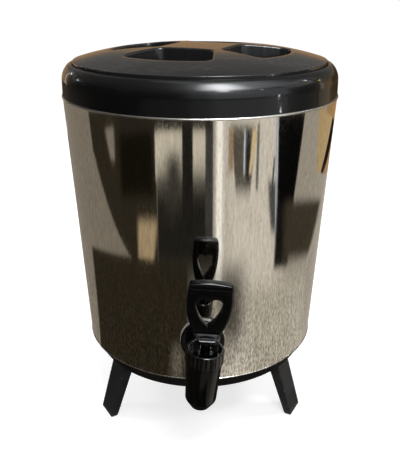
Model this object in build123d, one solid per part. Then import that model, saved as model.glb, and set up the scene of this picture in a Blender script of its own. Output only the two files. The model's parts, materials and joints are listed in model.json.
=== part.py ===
from build123d import *
import os
from math import cos, hypot, radians, sin, tan

# Insulated beverage dispenser: a double-walled steel vessel on three splayed legs,
# with a lift-off plug lid and a lever tap.
# Millimetres. The floor is z = 0, the vessel stands on the Z axis and the tap points to -Y.

# Stack of the vessel, from the floor up
LEG_HEIGHT = 72.0
BASE_HEIGHT = 14.0
SHELL_HEIGHT = 259.5
COLLAR_HEIGHT = 29.5

# Outer shell: brushed sheet, wider at the top, with a rolled bead under the collar
SHELL_BOTTOM_RADIUS = 123.4
SHELL_TOP_RADIUS = 135.4
SHELL_WALL = 0.6
SHELL_LIP = 7.0
BEAD_RADIUS = 1.0

# Base cover and legs
BASE_TAPER = 8.6
BASE_PLATE = 5.0
BASE_WALL = 3.0
BASE_SPIGOT = 8.0
BASE_PANEL_RADIUS = 44.0
BASE_PANEL_DEPTH = 1.5
LEG_SETBACK = 13.8
LEG_SPLAY = 22.0
LEG_SPREAD_ANGLE = 60.0
LEG_WIDTH_TOP = 27.0
LEG_WIDTH_FOOT = 24.5
LEG_THICKNESS_TOP = 13.5
LEG_THICKNESS_FOOT = 8.5
LEG_EDGE = 0.8
LEG_TOE = 2.0
LEG_PLATE = 5.0
LEG_PLATE_LENGTH = 28.0
SCREW_RADIUS = 1.9
SCREW_BITE = 3.5
SCREW_HEAD_RADIUS = 3.6
SCREW_HEAD = 2.2
SCREW_PITCH = 12.0
SCREW_EDGE = 8.0
SCREWS_PER_LEG = 2

# Top collar: moulded ring that caps the wall and seats the lid, with a sloped and rounded shoulder
COLLAR_DRAFT = 0.5
COLLAR_WALL = 3.0
COLLAR_SLOPE_HEIGHT = 8.0
COLLAR_SLOPE_WIDTH = 6.0
COLLAR_SHOULDER = 18.0
COLLAR_BROW = 5.0
COLLAR_SPIGOT = 13.0
RIM_WIDTH = 10.8
RIM_ROUND = 1.0
SEAT_DEPTH = 6.8
LEDGE_WIDTH = 11.8
NECK_HEIGHT = 15.7

# Inner liner: drawn steel vessel hung from the collar by its flange
LINER_WALL = 0.6
LINER_FLANGE = 7.0
LINER_CORNER = 8.0
WALL_INSULATION = 21.0

# Lid
LID_SEAM = 0.6
LID_PROUD = 1.3
LID_CROWN = 13.4
CROWN_POWER = 3
CROWN_STEPS = 5
LID_WALL = 3.0
LID_LIP = 1.0
PLUG_GAP = 4.3
PLUG_WALL = 2.5
PLUG_DEPTH = 25.5
PAN_PLATE = 2.5
PAN_RIM = 11.0
POCKET_COUNT = 4
POCKET_AZIMUTH = -24.5
POCKET_INNER = 32.0
POCKET_OUTER_RADIUS = 88.5
POCKET_WEB = 7.0
POCKET_FLARE = 21.0
POCKET_CORNER = 10.0
POCKET_DEPTH = 25.0
POCKET_WALL = 2.5
POCKET_RIM = 2.0
GASKET_BAND = 1.4
GASKET_HEIGHT = 12.0
GASKET_LIP = 1.6
GASKET_FLARE = 1.6

# Tap: the whole tap leans a little about its shank, as it was tightened
TAP_RISE = 49.0
TAP_LEAN = 4.6
TAP_REACH = 44.6
SHANK_RADIUS = 11.0
SHANK_END = 5.0
FLANGE_RADIUS = 20.0
FLANGE = 4.0
WASHER_RADIUS = 21.0
WASHER = 3.0
SLEEVE_WALL = 2.0
NUT_RADIUS = 17.0
NUT_SIDES = 6
NUT = 9.0
NUT_MARGIN = 1.5
INNER_WASHER = 4.0
NECK_RADIUS = 7.5
NECK_DROP = 4.5
NECK_LENGTH = 20.0
FLOW_RADIUS = 4.5

# Tap chamber and spout, measured from the shank axis along the valve axis
CHAMBER_TOP = 10.3
SHOULDER = 5.5
CHAMBER_RADIUS = 11.5
CHAMBER_WALL = 2.9
SHOULDER_WIDTH = 1.6
SPOUT_TAPER = 2.1
SPOUT_CONE = 8.5
SPOUT_CONE_ROUND = 4.0
OUTLET_RADIUS = 6.0
OUTLET_WALL = 2.2
SPOUT_DROP = 42.5
SEAT_DROP = 12.0

# Bonnet: ribbed cap nut, open at the top as a cup for the lever's heel
BONNET_WALL = 2.55
BONNET_TOP = 17.5
BONNET_FLOOR = 2.5
BONNET_CUP_WALL = 3.0
BONNET_RIM_BAND = 2.0
BONNET_RIB_COUNT = 24
BONNET_GROOVE = 0.7

# Valve stem and seat cup
STEM_RADIUS = 4.3
STEM_TOP_ABOVE_PIN = 5.0
STEM_GROOVE = 0.45
STEM_GROOVE_COUNT = 8
ROD_RADIUS = 2.2
ROD_END = 3.0
CUP_MARGIN = 2.0
CUP_HUB_RADIUS = 4.6
CUP_HEIGHT = 9.0
CUP_LIP = 2.5
CUP_HUB_HEIGHT = 3.0

# Lever: heart-pierced plate on a fork whose heel is a cam on the bonnet floor
LEVER_TURN = 35.0
CAM_PITCH = 4.5
CAM_HEIGHT = 5.5
CAM_STEPS = 4
CHEEK_GAP = 2.4
CHEEK_WIDTH = 3.5
CHEEK_BACK = 4.5
CHEEK_BOSS_RADIUS = 3.2
PIN_RADIUS = 1.5
LEDGE_ABOVE_PIN = 8.5
LEDGE_BACK_HEIGHT = 6.5
LEDGE_FRONT_HEIGHT = 3.5
LEDGE_FRONT_WIDTH = 14.7
LEDGE_FORWARD = 7.0
PLATE_HEIGHT = 47.0
PLATE_THICKNESS = 7.0
PLATE_FOOT_WIDTH = 23.4
PLATE_LOW_WIDTH = 35.0
PLATE_LOW_HEIGHT = 14.0
PLATE_WIDE_WIDTH = 39.5
PLATE_WIDE_HEIGHT = 32.0
PLATE_TOP_WIDTH = 36.6
PLATE_ARCH = 1.8
PLATE_CORNER = 2.5
PLATE_EDGE = 1.2
HEART_TIP = 6.0
HEART_SIDE_HEIGHT = 9.5
HEART_SIDE_HALF = 7.6
HEART_WIDE_HEIGHT = 21.0
HEART_WIDE_HALF = 11.7
HEART_LOBE_HEIGHT = 27.0
HEART_LOBE_HALF = 6.2
HEART_CUSP_HEIGHT = 23.6

# Clearances
FIT = 0.3
SEAT_GAP = 0.1
THREAD_GAP = 0.05
PIN_GAP = 0.05
FOAM_GAP = 0.3

# Heights that follow from the stack
BASE_Z = LEG_HEIGHT
SHELL_Z = BASE_Z + BASE_HEIGHT
COLLAR_Z = SHELL_Z + SHELL_HEIGHT
RIM_Z = COLLAR_Z + COLLAR_HEIGHT
LEDGE_Z = RIM_Z - SEAT_DEPTH
NECK_Z = LEDGE_Z - NECK_HEIGHT
LID_SEAT_Z = LEDGE_Z + FIT
LID_EDGE_Z = RIM_Z + LID_PROUD
LID_TOP_Z = LID_EDGE_Z + LID_CROWN
POCKET_FLOOR_Z = LID_TOP_Z - POCKET_DEPTH
PAN_Z = LID_SEAT_Z - PLUG_DEPTH
TAP_Z = SHELL_Z + TAP_RISE
LINER_Z = TAP_Z - NUT_RADIUS - LINER_CORNER - NUT_MARGIN

# Radii and half widths that follow from the shell and from the tap's chamber
COLLAR_RADIUS = SHELL_TOP_RADIUS
SHOULDER_RADIUS = COLLAR_RADIUS - COLLAR_DRAFT
SEAT_RADIUS = COLLAR_RADIUS - RIM_WIDTH
LID_RADIUS = SEAT_RADIUS - LID_SEAM
MOUTH_RADIUS = SEAT_RADIUS - LEDGE_WIDTH
LINER_TOP_RADIUS = MOUTH_RADIUS + FIT + LINER_WALL
LINER_BOTTOM_RADIUS = SHELL_BOTTOM_RADIUS - WALL_INSULATION
PLUG_RADIUS = MOUTH_RADIUS - PLUG_GAP
BASE_EDGE_RADIUS = SHELL_BOTTOM_RADIUS - BASE_TAPER
LIP_RADIUS = SHELL_BOTTOM_RADIUS - SHELL_LIP
SPIGOT_RADIUS = LIP_RADIUS - FIT
LEG_TOP_RADIUS = BASE_EDGE_RADIUS - LEG_SETBACK
FOOT_RADIUS = LEG_TOP_RADIUS + LEG_SPLAY
LEG_AZIMUTHS = {"leg_left": -LEG_SPREAD_ANGLE, "leg_right": LEG_SPREAD_ANGLE, "leg_rear": 180.0}
CHAMBER_OUTSIDE = CHAMBER_RADIUS + CHAMBER_WALL
SPOUT_TOP_RADIUS = CHAMBER_OUTSIDE + SHOULDER_WIDTH
SPOUT_END_RADIUS = SPOUT_TOP_RADIUS - SPOUT_TAPER
BONNET_INSIDE = CHAMBER_OUTSIDE + THREAD_GAP
BONNET_RADIUS = BONNET_INSIDE + BONNET_WALL
CUP_RADIUS = CHAMBER_RADIUS - CUP_MARGIN
CHEEK_INSIDE = STEM_RADIUS + CHEEK_GAP
CHEEK_OUTSIDE = CHEEK_INSIDE + CHEEK_WIDTH


def shell_radius(height):
    """Outer radius of the tapered shell at a height above the floor."""
    rise = (height - SHELL_Z) / SHELL_HEIGHT
    return SHELL_BOTTOM_RADIUS + (SHELL_TOP_RADIUS - SHELL_BOTTOM_RADIUS) * rise


def liner_radius(height):
    """Outer radius of the tapered liner at a height above the floor."""
    rise = (height - LINER_Z) / (NECK_Z - LINER_Z)
    return LINER_BOTTOM_RADIUS + (LINER_TOP_RADIUS - LINER_BOTTOM_RADIUS) * rise


def dome_height(radius):
    """Height of the lid's top face, nearly flat in the middle and falling with a power of the radius."""
    return LID_TOP_Z - LID_CROWN * (radius / LID_RADIUS) ** CROWN_POWER


# Places along the tap's shank
TAP_WALL_Y = -shell_radius(TAP_Z)
FLANGE_BACK_Y = TAP_WALL_Y - WASHER
VALVE_Y = TAP_WALL_Y - TAP_REACH
LINER_WALL_Y = -liner_radius(TAP_Z) + LINER_WALL
NUT_FACE_Y = LINER_WALL_Y + INNER_WASHER
NUT_END_Y = NUT_FACE_Y + NUT
SHANK_END_Y = NUT_END_Y + SHANK_END
TAP_FRAME = Location((0, VALVE_Y, TAP_Z), (0, TAP_LEAN, 0))

# Places along the valve axis, from the shank axis
CUP_FLOOR = CHAMBER_TOP + THREAD_GAP + BONNET_FLOOR
PIN_HEIGHT = CUP_FLOOR + FIT + CAM_HEIGHT
LEDGE_HEIGHT = PIN_HEIGHT + LEDGE_ABOVE_PIN
PLATE_BOTTOM = LEDGE_HEIGHT + LEDGE_BACK_HEIGHT


def outline(corners):
    """A flat face from (x, y) corners; a third number rounds that corner."""
    points = [corner[:2] for corner in corners]
    radii = [corner[2] if len(corner) > 2 else 0 for corner in corners]
    return make_face(FilletPolyline(*points, radius=radii, close=True))


def turned(*corners):
    """A solid of revolution about Z from (radius, height) corners."""
    return revolve(Plane.XZ * outline(corners), Axis.Z)


def across(radius, y_start, y_end):
    """A cylinder along Y at the height of the tap."""
    middle = (y_start + y_end) / 2
    return Pos(0, middle, TAP_Z) * Rot(90, 0, 0) * Cylinder(radius, abs(y_end - y_start))


def facing(azimuth):
    """Turns a shape that points along +X to an azimuth counted from the front."""
    return Rot(0, 0, azimuth - 90)


def shell_form(grow):
    """The space inside the shell's outer face, grown by a small amount."""
    return turned(
        (0, SHELL_Z),
        (SHELL_BOTTOM_RADIUS + grow, SHELL_Z),
        (SHELL_TOP_RADIUS + grow, COLLAR_Z),
        (0, COLLAR_Z),
    )


def liner_form(grow):
    """The space inside the liner's outer face, grown by a small amount."""
    return turned(
        (0, LINER_Z - grow),
        (LINER_BOTTOM_RADIUS + grow, LINER_Z - grow, LINER_CORNER + grow),
        (LINER_TOP_RADIUS + grow, NECK_Z),
        (0, NECK_Z),
    )


def outer_shell():
    wall = outline((
        (LIP_RADIUS, SHELL_Z),
        (SHELL_BOTTOM_RADIUS, SHELL_Z),
        (SHELL_TOP_RADIUS, COLLAR_Z - BEAD_RADIUS),
        (SHELL_TOP_RADIUS - SHELL_WALL, COLLAR_Z - BEAD_RADIUS),
        (SHELL_BOTTOM_RADIUS - SHELL_WALL, SHELL_Z + SHELL_WALL),
        (LIP_RADIUS, SHELL_Z + SHELL_WALL),
    ))
    bead = Pos(SHELL_TOP_RADIUS, COLLAR_Z - BEAD_RADIUS) * Circle(BEAD_RADIUS)
    shell = revolve(Plane.XZ * (wall + bead), Axis.Z)
    return shell - across(SHANK_RADIUS + FIT, TAP_WALL_Y - WASHER, LINER_WALL_Y)


def inner_liner():
    flange = turned(
        (LINER_TOP_RADIUS - LINER_WALL, NECK_Z - LINER_WALL),
        (LINER_TOP_RADIUS + LINER_FLANGE, NECK_Z - LINER_WALL),
        (LINER_TOP_RADIUS + LINER_FLANGE, NECK_Z),
        (LINER_TOP_RADIUS - LINER_WALL, NECK_Z),
    )
    vessel = liner_form(0) - liner_form(-LINER_WALL)
    return vessel + flange - across(SHANK_RADIUS + FIT, TAP_WALL_Y, NUT_FACE_Y)


def foam_insulation():
    """Foam that fills the wall between liner and shell, from the base cover to the collar."""
    base_top = BASE_Z + BASE_PLATE + FOAM_GAP
    spigot_top = SHELL_Z + SHELL_WALL + BASE_SPIGOT + FOAM_GAP
    spigot_inside = SPIGOT_RADIUS - BASE_WALL - FOAM_GAP
    skin = SHELL_WALL + FOAM_GAP
    collar_foot = COLLAR_Z - COLLAR_SPIGOT - FOAM_GAP
    collar_inside = collar_spigot_radius() - COLLAR_WALL - FOAM_GAP
    filled = turned(
        (0, base_top),
        (spigot_inside, base_top),
        (spigot_inside, spigot_top),
        (shell_radius(spigot_top) - skin, spigot_top),
        (shell_radius(collar_foot) - skin, collar_foot),
        (collar_inside, collar_foot),
        (collar_inside, COLLAR_Z),
        (0, COLLAR_Z),
    )
    sleeve_hole = across(sleeve_radius() + FOAM_GAP, TAP_WALL_Y, LINER_WALL_Y)
    return filled - liner_form(FOAM_GAP) - sleeve_hole


def collar_spigot_radius():
    """Outer radius of the collar's spigot, clear of the shell's inner face at its lower end."""
    return shell_radius(COLLAR_Z - COLLAR_SPIGOT) - SHELL_WALL - FIT


def top_collar():
    spigot = collar_spigot_radius()
    spigot_z = COLLAR_Z - COLLAR_SPIGOT
    slope_z = RIM_Z - COLLAR_SLOPE_HEIGHT
    return turned(
        (COLLAR_RADIUS, COLLAR_Z),
        (SHOULDER_RADIUS, slope_z, COLLAR_SHOULDER),
        (SHOULDER_RADIUS - COLLAR_SLOPE_WIDTH, RIM_Z, COLLAR_BROW),
        (SEAT_RADIUS, RIM_Z, RIM_ROUND),
        (SEAT_RADIUS, LEDGE_Z),
        (MOUTH_RADIUS, LEDGE_Z, RIM_ROUND),
        (MOUTH_RADIUS, NECK_Z),
        (MOUTH_RADIUS + COLLAR_WALL, NECK_Z),
        (MOUTH_RADIUS + COLLAR_WALL, LEDGE_Z - COLLAR_WALL),
        (SEAT_RADIUS + COLLAR_WALL, LEDGE_Z - COLLAR_WALL),
        (SEAT_RADIUS + COLLAR_WALL, slope_z),
        (SHOULDER_RADIUS - COLLAR_WALL, slope_z),
        (SHOULDER_RADIUS - COLLAR_WALL, COLLAR_Z + COLLAR_WALL),
        (spigot - COLLAR_WALL, COLLAR_Z + COLLAR_WALL),
        (spigot - COLLAR_WALL, spigot_z),
        (spigot, spigot_z),
        (spigot, COLLAR_Z),
    )


def screw_places(azimuth):
    """Where the screws of one leg stand, seen from above."""
    inner = LEG_TOP_RADIUS - LEG_THICKNESS_TOP - LEG_PLATE_LENGTH + SCREW_EDGE
    return [facing(azimuth) * Pos(inner + i * SCREW_PITCH, 0, 0) for i in range(SCREWS_PER_LEG)]


def base_cover():
    cover = turned(
        (0, BASE_Z + BASE_PANEL_DEPTH),
        (BASE_PANEL_RADIUS, BASE_Z + BASE_PANEL_DEPTH),
        (BASE_PANEL_RADIUS, BASE_Z),
        (BASE_EDGE_RADIUS, BASE_Z, RIM_ROUND),
        (SHELL_BOTTOM_RADIUS - FIT, SHELL_Z),
        (SPIGOT_RADIUS, SHELL_Z),
        (SPIGOT_RADIUS, SHELL_Z + SHELL_WALL + BASE_SPIGOT),
        (SPIGOT_RADIUS - BASE_WALL, SHELL_Z + SHELL_WALL + BASE_SPIGOT),
        (SPIGOT_RADIUS - BASE_WALL, BASE_Z + BASE_PLATE),
        (0, BASE_Z + BASE_PLATE),
    )
    pilot = Pos(0, 0, BASE_Z + (SCREW_BITE + FIT) / 2)
    pilot *= Cylinder(SCREW_RADIUS + SEAT_GAP, SCREW_BITE + FIT)
    places = [place for azimuth in LEG_AZIMUTHS.values() for place in screw_places(azimuth)]
    return cover - [place * pilot for place in places]


def leg(azimuth):
    """One splayed post, thinner at the foot, with a mounting plate that reaches inwards."""
    foot = Pos(FOOT_RADIUS - LEG_THICKNESS_FOOT / 2, 0, 0)
    top = Pos(LEG_TOP_RADIUS - LEG_THICKNESS_TOP / 2, 0, BASE_Z)
    post = loft([
        foot * Rectangle(LEG_THICKNESS_FOOT, LEG_WIDTH_FOOT),
        top * Rectangle(LEG_THICKNESS_TOP, LEG_WIDTH_TOP),
    ])
    sole = post.faces().sort_by(Axis.Z)[0]
    post = fillet(sole.edges().sort_by(Axis.X)[-1], LEG_TOE)
    uprights = [edge for edge in post.edges() if edge.bounding_box().size.Z > LEG_HEIGHT / 2]
    post = fillet(uprights, LEG_EDGE)
    plate_outer = LEG_TOP_RADIUS - LEG_THICKNESS_TOP / 2
    plate_inner = LEG_TOP_RADIUS - LEG_THICKNESS_TOP - LEG_PLATE_LENGTH
    plate = Pos((plate_outer + plate_inner) / 2, 0, BASE_Z - LEG_PLATE / 2)
    plate *= Box(plate_outer - plate_inner, LEG_WIDTH_TOP - 2 * LEG_EDGE, LEG_PLATE)
    turned_leg = facing(azimuth) * (post + plate)
    hole = Pos(0, 0, BASE_Z - LEG_PLATE / 2) * Cylinder(SCREW_RADIUS + SEAT_GAP, LEG_PLATE)
    return turned_leg - [place * hole for place in screw_places(azimuth)]


def leg_screws():
    """Pan-head screws that hold the leg plates to the base cover."""
    under = BASE_Z - LEG_PLATE
    shaft = Pos(0, 0, under + (LEG_PLATE + SCREW_BITE) / 2)
    shaft *= Cylinder(SCREW_RADIUS, LEG_PLATE + SCREW_BITE)
    head = turned(
        (0, under - SCREW_HEAD),
        (SCREW_HEAD_RADIUS, under - SCREW_HEAD, SCREW_HEAD / 2),
        (SCREW_HEAD_RADIUS, under),
        (0, under),
    )
    screw = shaft + head
    places = [place for azimuth in LEG_AZIMUTHS.values() for place in screw_places(azimuth)]
    return Compound([place * screw for place in places])


def pocket(grow, bottom, top):
    """The space of one finger pocket, pointing along +X, grown all round by a wall."""
    half_turn = radians(180 / POCKET_COUNT)
    half_width = (POCKET_INNER * sin(half_turn) - POCKET_WEB / 2) / cos(half_turn)
    reach = POCKET_OUTER_RADIUS + POCKET_CORNER
    spread = half_width + (reach - POCKET_INNER) * tan(radians(POCKET_FLARE))
    wedge = outline([
        (POCKET_INNER, -half_width),
        (reach, -spread),
        (reach, spread),
        (POCKET_INNER, half_width),
    ])
    shape = wedge & Circle(POCKET_OUTER_RADIUS)
    shape = fillet(shape.vertices(), POCKET_CORNER)
    if grow:
        shape = offset(shape, amount=grow)
    return Pos(0, 0, bottom) * extrude(shape, amount=top - bottom)


def pocket_places():
    return [facing(POCKET_AZIMUTH + 360 * i / POCKET_COUNT) for i in range(POCKET_COUNT)]


def dome_curve(drop):
    """The lid's crown as a curve in the radius and height plane, lowered by a wall thickness."""
    reach = LID_RADIUS - drop
    radii = [reach * i / CROWN_STEPS for i in range(CROWN_STEPS + 1)]
    slope = -CROWN_POWER * LID_CROWN / LID_RADIUS * (reach / LID_RADIUS) ** (CROWN_POWER - 1)
    points = [(radius, dome_height(radius) - drop) for radius in radii]
    return Spline(*points, tangents=[(1, 0), (1, slope)])


def on_pocket_rim(point):
    """Whether a point lies where a pocket's wall meets the lid's crown."""
    radius = hypot(point.X, point.Y)
    return radius < POCKET_OUTER_RADIUS + FIT and abs(point.Z - dome_height(radius)) < FIT


def lid_cover():
    crown = dome_curve(0)
    ceiling = dome_curve(LID_WALL)
    plug_z = PAN_Z + PAN_PLATE
    inside = LID_RADIUS - LID_WALL
    walls = Polyline(
        crown @ 1,
        (LID_RADIUS, LID_SEAT_Z),
        (PLUG_RADIUS, LID_SEAT_Z),
        (PLUG_RADIUS, plug_z),
        (PLUG_RADIUS - PLUG_WALL, plug_z),
        (PLUG_RADIUS - PLUG_WALL, LID_SEAT_Z + LID_WALL),
        (inside, LID_SEAT_Z + LID_WALL),
        ceiling @ 1,
    )
    axis_line = Line(ceiling @ 0, crown @ 0)
    shell = revolve(Plane.XZ * make_face([crown, walls, ceiling, axis_line]), Axis.Z)
    edge = [e for e in shell.edges() if abs((e @ 0).Z - LID_EDGE_Z) < FIT]
    shell = fillet(edge, LID_LIP)
    under_crown = Polyline(crown @ 1, (LID_RADIUS, PAN_Z), (0, PAN_Z), crown @ 0)
    below = revolve(Plane.XZ * make_face([crown, under_crown]), Axis.Z)
    wells = pocket(POCKET_WALL, POCKET_FLOOR_Z - POCKET_WALL, LID_TOP_Z) & below
    opening = pocket(0, POCKET_FLOOR_Z, LID_TOP_Z + LID_WALL)
    for place in pocket_places():
        shell += place * wells
    for place in pocket_places():
        shell -= place * opening
    return fillet([edge for edge in shell.edges() if on_pocket_rim(edge @ 0.5)], POCKET_RIM)


def lid_pan():
    inside = PLUG_RADIUS - PLUG_WALL - FIT
    return turned(
        (0, PAN_Z),
        (PLUG_RADIUS, PAN_Z, RIM_ROUND),
        (PLUG_RADIUS, PAN_Z + PAN_PLATE),
        (inside, PAN_Z + PAN_PLATE),
        (inside, PAN_Z + PAN_PLATE + PAN_RIM),
        (inside - PAN_PLATE, PAN_Z + PAN_PLATE + PAN_RIM),
        (inside - PAN_PLATE, PAN_Z + PAN_PLATE),
        (0, PAN_Z + PAN_PLATE),
    )


def lid_foam():
    radius = PLUG_RADIUS - PLUG_WALL - FIT - PAN_PLATE - FOAM_GAP
    bottom = PAN_Z + PAN_PLATE
    top = POCKET_FLOOR_Z - POCKET_WALL - FOAM_GAP
    return turned((0, bottom), (radius, bottom), (radius, top), (0, top))


def lid_gasket():
    """Silicone band round the plug with two lips that reach for the collar's neck."""
    inside = PLUG_RADIUS + SEAT_GAP
    band = inside + GASKET_BAND
    lips = MOUTH_RADIUS - FIT
    top = LID_SEAT_Z - SEAT_GAP
    bottom = top - GASKET_HEIGHT
    return turned(
        (inside, bottom),
        (lips, bottom),
        (lips, bottom + GASKET_LIP),
        (band, bottom + GASKET_LIP + GASKET_FLARE),
        (band, top - GASKET_LIP - GASKET_FLARE),
        (lips, top - GASKET_LIP),
        (lips, top),
        (inside, top),
    )


def sleeve_radius():
    return SHANK_RADIUS + FIT + SLEEVE_WALL


def tap_sleeve():
    """Tube that keeps the foam clear of the shank, between the liner and the shell."""
    tube = across(sleeve_radius(), TAP_WALL_Y, LINER_WALL_Y)
    tube -= across(SHANK_RADIUS + FIT, TAP_WALL_Y, LINER_WALL_Y)
    return (tube & shell_form(-SHELL_WALL - SEAT_GAP)) - liner_form(SEAT_GAP)


def tap_outer_washer():
    ring = across(WASHER_RADIUS, FLANGE_BACK_Y, TAP_WALL_Y + WASHER)
    ring -= across(SHANK_RADIUS + FIT, FLANGE_BACK_Y, TAP_WALL_Y + WASHER)
    return ring - shell_form(SEAT_GAP)


def tap_inner_washer():
    ring = across(NUT_RADIUS, LINER_WALL_Y - LINER_WALL, NUT_FACE_Y)
    ring -= across(SHANK_RADIUS + FIT, LINER_WALL_Y - LINER_WALL, NUT_FACE_Y)
    return ring & liner_form(-LINER_WALL - SEAT_GAP)


def tap_nut():
    """Hexagonal nut that clamps the shank from inside the liner."""
    hexagon = RegularPolygon(NUT_RADIUS, NUT_SIDES) - Circle(SHANK_RADIUS + THREAD_GAP)
    return Pos(0, NUT_END_Y, TAP_Z) * Rot(90, 0, 0) * extrude(hexagon, amount=NUT)


def tap_body():
    """Spout and chamber turned about the valve axis, with the neck, flange and shank behind."""
    spout = turned(
        (0, -SPOUT_DROP),
        (OUTLET_RADIUS + OUTLET_WALL, -SPOUT_DROP, RIM_ROUND),
        (SPOUT_END_RADIUS, -SPOUT_DROP + SPOUT_CONE, SPOUT_CONE_ROUND),
        (SPOUT_TOP_RADIUS, SHOULDER),
        (CHAMBER_OUTSIDE, SHOULDER),
        (CHAMBER_OUTSIDE, CHAMBER_TOP),
        (0, CHAMBER_TOP),
    )
    flange_front = FLANGE_BACK_Y - FLANGE - VALVE_Y
    shank_end = SHANK_END_Y - VALVE_Y
    neck = Pos(0, 0, -NECK_DROP) * Rot(-90, 0, 0) * extrude(Circle(NECK_RADIUS), amount=NECK_LENGTH)
    widening = loft([
        Pos(0, NECK_LENGTH, -NECK_DROP) * Rot(-90, 0, 0) * Circle(NECK_RADIUS),
        Pos(0, flange_front, 0) * Rot(-90, 0, 0) * Circle(SHANK_RADIUS),
    ])
    flange = Pos(0, flange_front, 0) * Rot(-90, 0, 0) * extrude(Circle(FLANGE_RADIUS), amount=FLANGE)
    front_edge = flange.edges().sort_by(Axis.Y)[0]
    flange = fillet(front_edge, RIM_ROUND)
    shank = Pos(0, flange_front, 0) * Rot(-90, 0, 0)
    shank *= extrude(Circle(SHANK_RADIUS), amount=shank_end - flange_front)
    flow = Pos(0, 0, -NECK_DROP) * Rot(-90, 0, 0) * extrude(Circle(FLOW_RADIUS), amount=shank_end)
    waterway = turned(
        (0, -SPOUT_DROP),
        (OUTLET_RADIUS, -SPOUT_DROP),
        (OUTLET_RADIUS, -SEAT_DROP),
        (CHAMBER_RADIUS, -SEAT_DROP),
        (CHAMBER_RADIUS, CHAMBER_TOP),
        (0, CHAMBER_TOP),
    )
    return TAP_FRAME * (spout + neck + widening + flange + shank - waterway - flow)


def tap_bonnet():
    """Cap nut screwed over the chamber; its upper half is an open cup with a floor for the cam."""
    cup = BONNET_RADIUS - BONNET_CUP_WALL
    cap = turned(
        (BONNET_INSIDE, SHOULDER + SEAT_GAP),
        (BONNET_RADIUS, SHOULDER + SEAT_GAP),
        (BONNET_RADIUS, BONNET_TOP, RIM_ROUND),
        (cup, BONNET_TOP, RIM_ROUND),
        (cup, CUP_FLOOR),
        (STEM_RADIUS + SEAT_GAP, CUP_FLOOR),
        (STEM_RADIUS + SEAT_GAP, CUP_FLOOR - BONNET_FLOOR),
        (BONNET_INSIDE, CUP_FLOOR - BONNET_FLOOR),
    )
    rib_top = BONNET_TOP - BONNET_RIM_BAND
    groove = Pos(BONNET_RADIUS, 0, (SHOULDER + rib_top) / 2)
    groove *= Cylinder(BONNET_GROOVE, rib_top - SHOULDER)
    step = 360 / BONNET_RIB_COUNT
    return TAP_FRAME * (cap - [Rot(0, 0, i * step) * groove for i in range(BONNET_RIB_COUNT)])


def valve_stem():
    """Grooved post that carries the lever's pin, with a thin rod down to the seat cup."""
    top = PIN_HEIGHT + STEM_TOP_ABOVE_PIN
    stem = turned(
        (0, -SEAT_DROP + ROD_END),
        (ROD_RADIUS, -SEAT_DROP + ROD_END),
        (ROD_RADIUS, SHOULDER),
        (STEM_RADIUS, SHOULDER),
        (STEM_RADIUS, top, RIM_ROUND),
        (0, top),
    )
    eye = Pos(0, 0, PIN_HEIGHT) * Rot(0, 90, 0)
    eye *= Cylinder(PIN_RADIUS + PIN_GAP, 2 * CHEEK_INSIDE)
    groove = Pos(STEM_RADIUS, 0, (CUP_FLOOR + top) / 2) * Cylinder(STEM_GROOVE, top - CUP_FLOOR)
    step = 360 / STEM_GROOVE_COUNT
    grooves = [Rot(0, 0, (i + 0.5) * step) * groove for i in range(STEM_GROOVE_COUNT)]
    return TAP_FRAME * (stem - eye - grooves)


def seat_cup():
    """Silicone bell on the end of the stem; its lip closes the seat above the outlet."""
    top = -SEAT_DROP + CUP_HEIGHT
    bell = turned(
        (0, -SEAT_DROP),
        (CUP_RADIUS, -SEAT_DROP),
        (CUP_RADIUS, -SEAT_DROP + CUP_LIP, RIM_ROUND),
        (CUP_HUB_RADIUS, top - CUP_HUB_HEIGHT),
        (CUP_HUB_RADIUS, top, RIM_ROUND),
        (0, top),
    )
    socket = Pos(0, 0, (top - SEAT_DROP + ROD_END) / 2)
    socket *= Cylinder(ROD_RADIUS, top + SEAT_DROP - ROD_END)
    return TAP_FRAME * (bell - socket)


def cam_point(turn):
    """The point of the heel that faces the bonnet floor at a turn: the involute of a circle."""
    reach = CAM_HEIGHT + CAM_PITCH * turn
    forward = -reach * sin(turn) - CAM_PITCH * cos(turn)
    height = -reach * cos(turn) + CAM_PITCH * sin(turn)
    return (forward, PIN_HEIGHT + height)


def cheek(side):
    """One side of the lever's fork, with the cam below the pin and a boss round it."""
    last = radians(LEVER_TURN)
    points = [cam_point(last * i / CAM_STEPS) for i in range(CAM_STEPS + 1)]
    heel = Spline(*points, tangents=[(-1, 0), (-cos(last), sin(last))])
    front = (heel @ 1).X
    rest = Polyline(
        heel @ 1,
        (front, LEDGE_HEIGHT + LEDGE_FRONT_HEIGHT),
        (PLATE_THICKNESS / 2, LEDGE_HEIGHT + LEDGE_BACK_HEIGHT),
        (CHEEK_BACK, PIN_HEIGHT),
        (CHEEK_BACK, PIN_HEIGHT - CAM_HEIGHT),
        heel @ 0,
    )
    profile = Plane.YZ * make_face([heel, rest])
    wall = Pos(CHEEK_INSIDE, 0, 0) * extrude(profile, amount=CHEEK_WIDTH)
    boss_length = CHEEK_INSIDE - STEM_RADIUS - FIT
    boss = Pos(CHEEK_INSIDE - boss_length / 2, 0, PIN_HEIGHT) * Rot(0, 90, 0)
    boss *= Cylinder(CHEEK_BOSS_RADIUS, boss_length)
    whole = wall + boss
    return whole if side > 0 else mirror(whole, Plane.YZ)


def heart():
    """Outline of the heart-shaped grip hole, with its tip down."""
    tip = PLATE_BOTTOM + HEART_TIP
    side = ThreePointArc(
        (0, tip),
        (HEART_SIDE_HALF, tip + HEART_SIDE_HEIGHT),
        (HEART_WIDE_HALF, tip + HEART_WIDE_HEIGHT),
    )
    lobe = ThreePointArc(
        side @ 1,
        (HEART_LOBE_HALF, tip + HEART_LOBE_HEIGHT),
        (0, tip + HEART_CUSP_HEIGHT),
    )
    half = make_face([side, lobe, Line(lobe @ 1, side @ 0)])
    return half + mirror(half, Plane.YZ)


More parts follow.
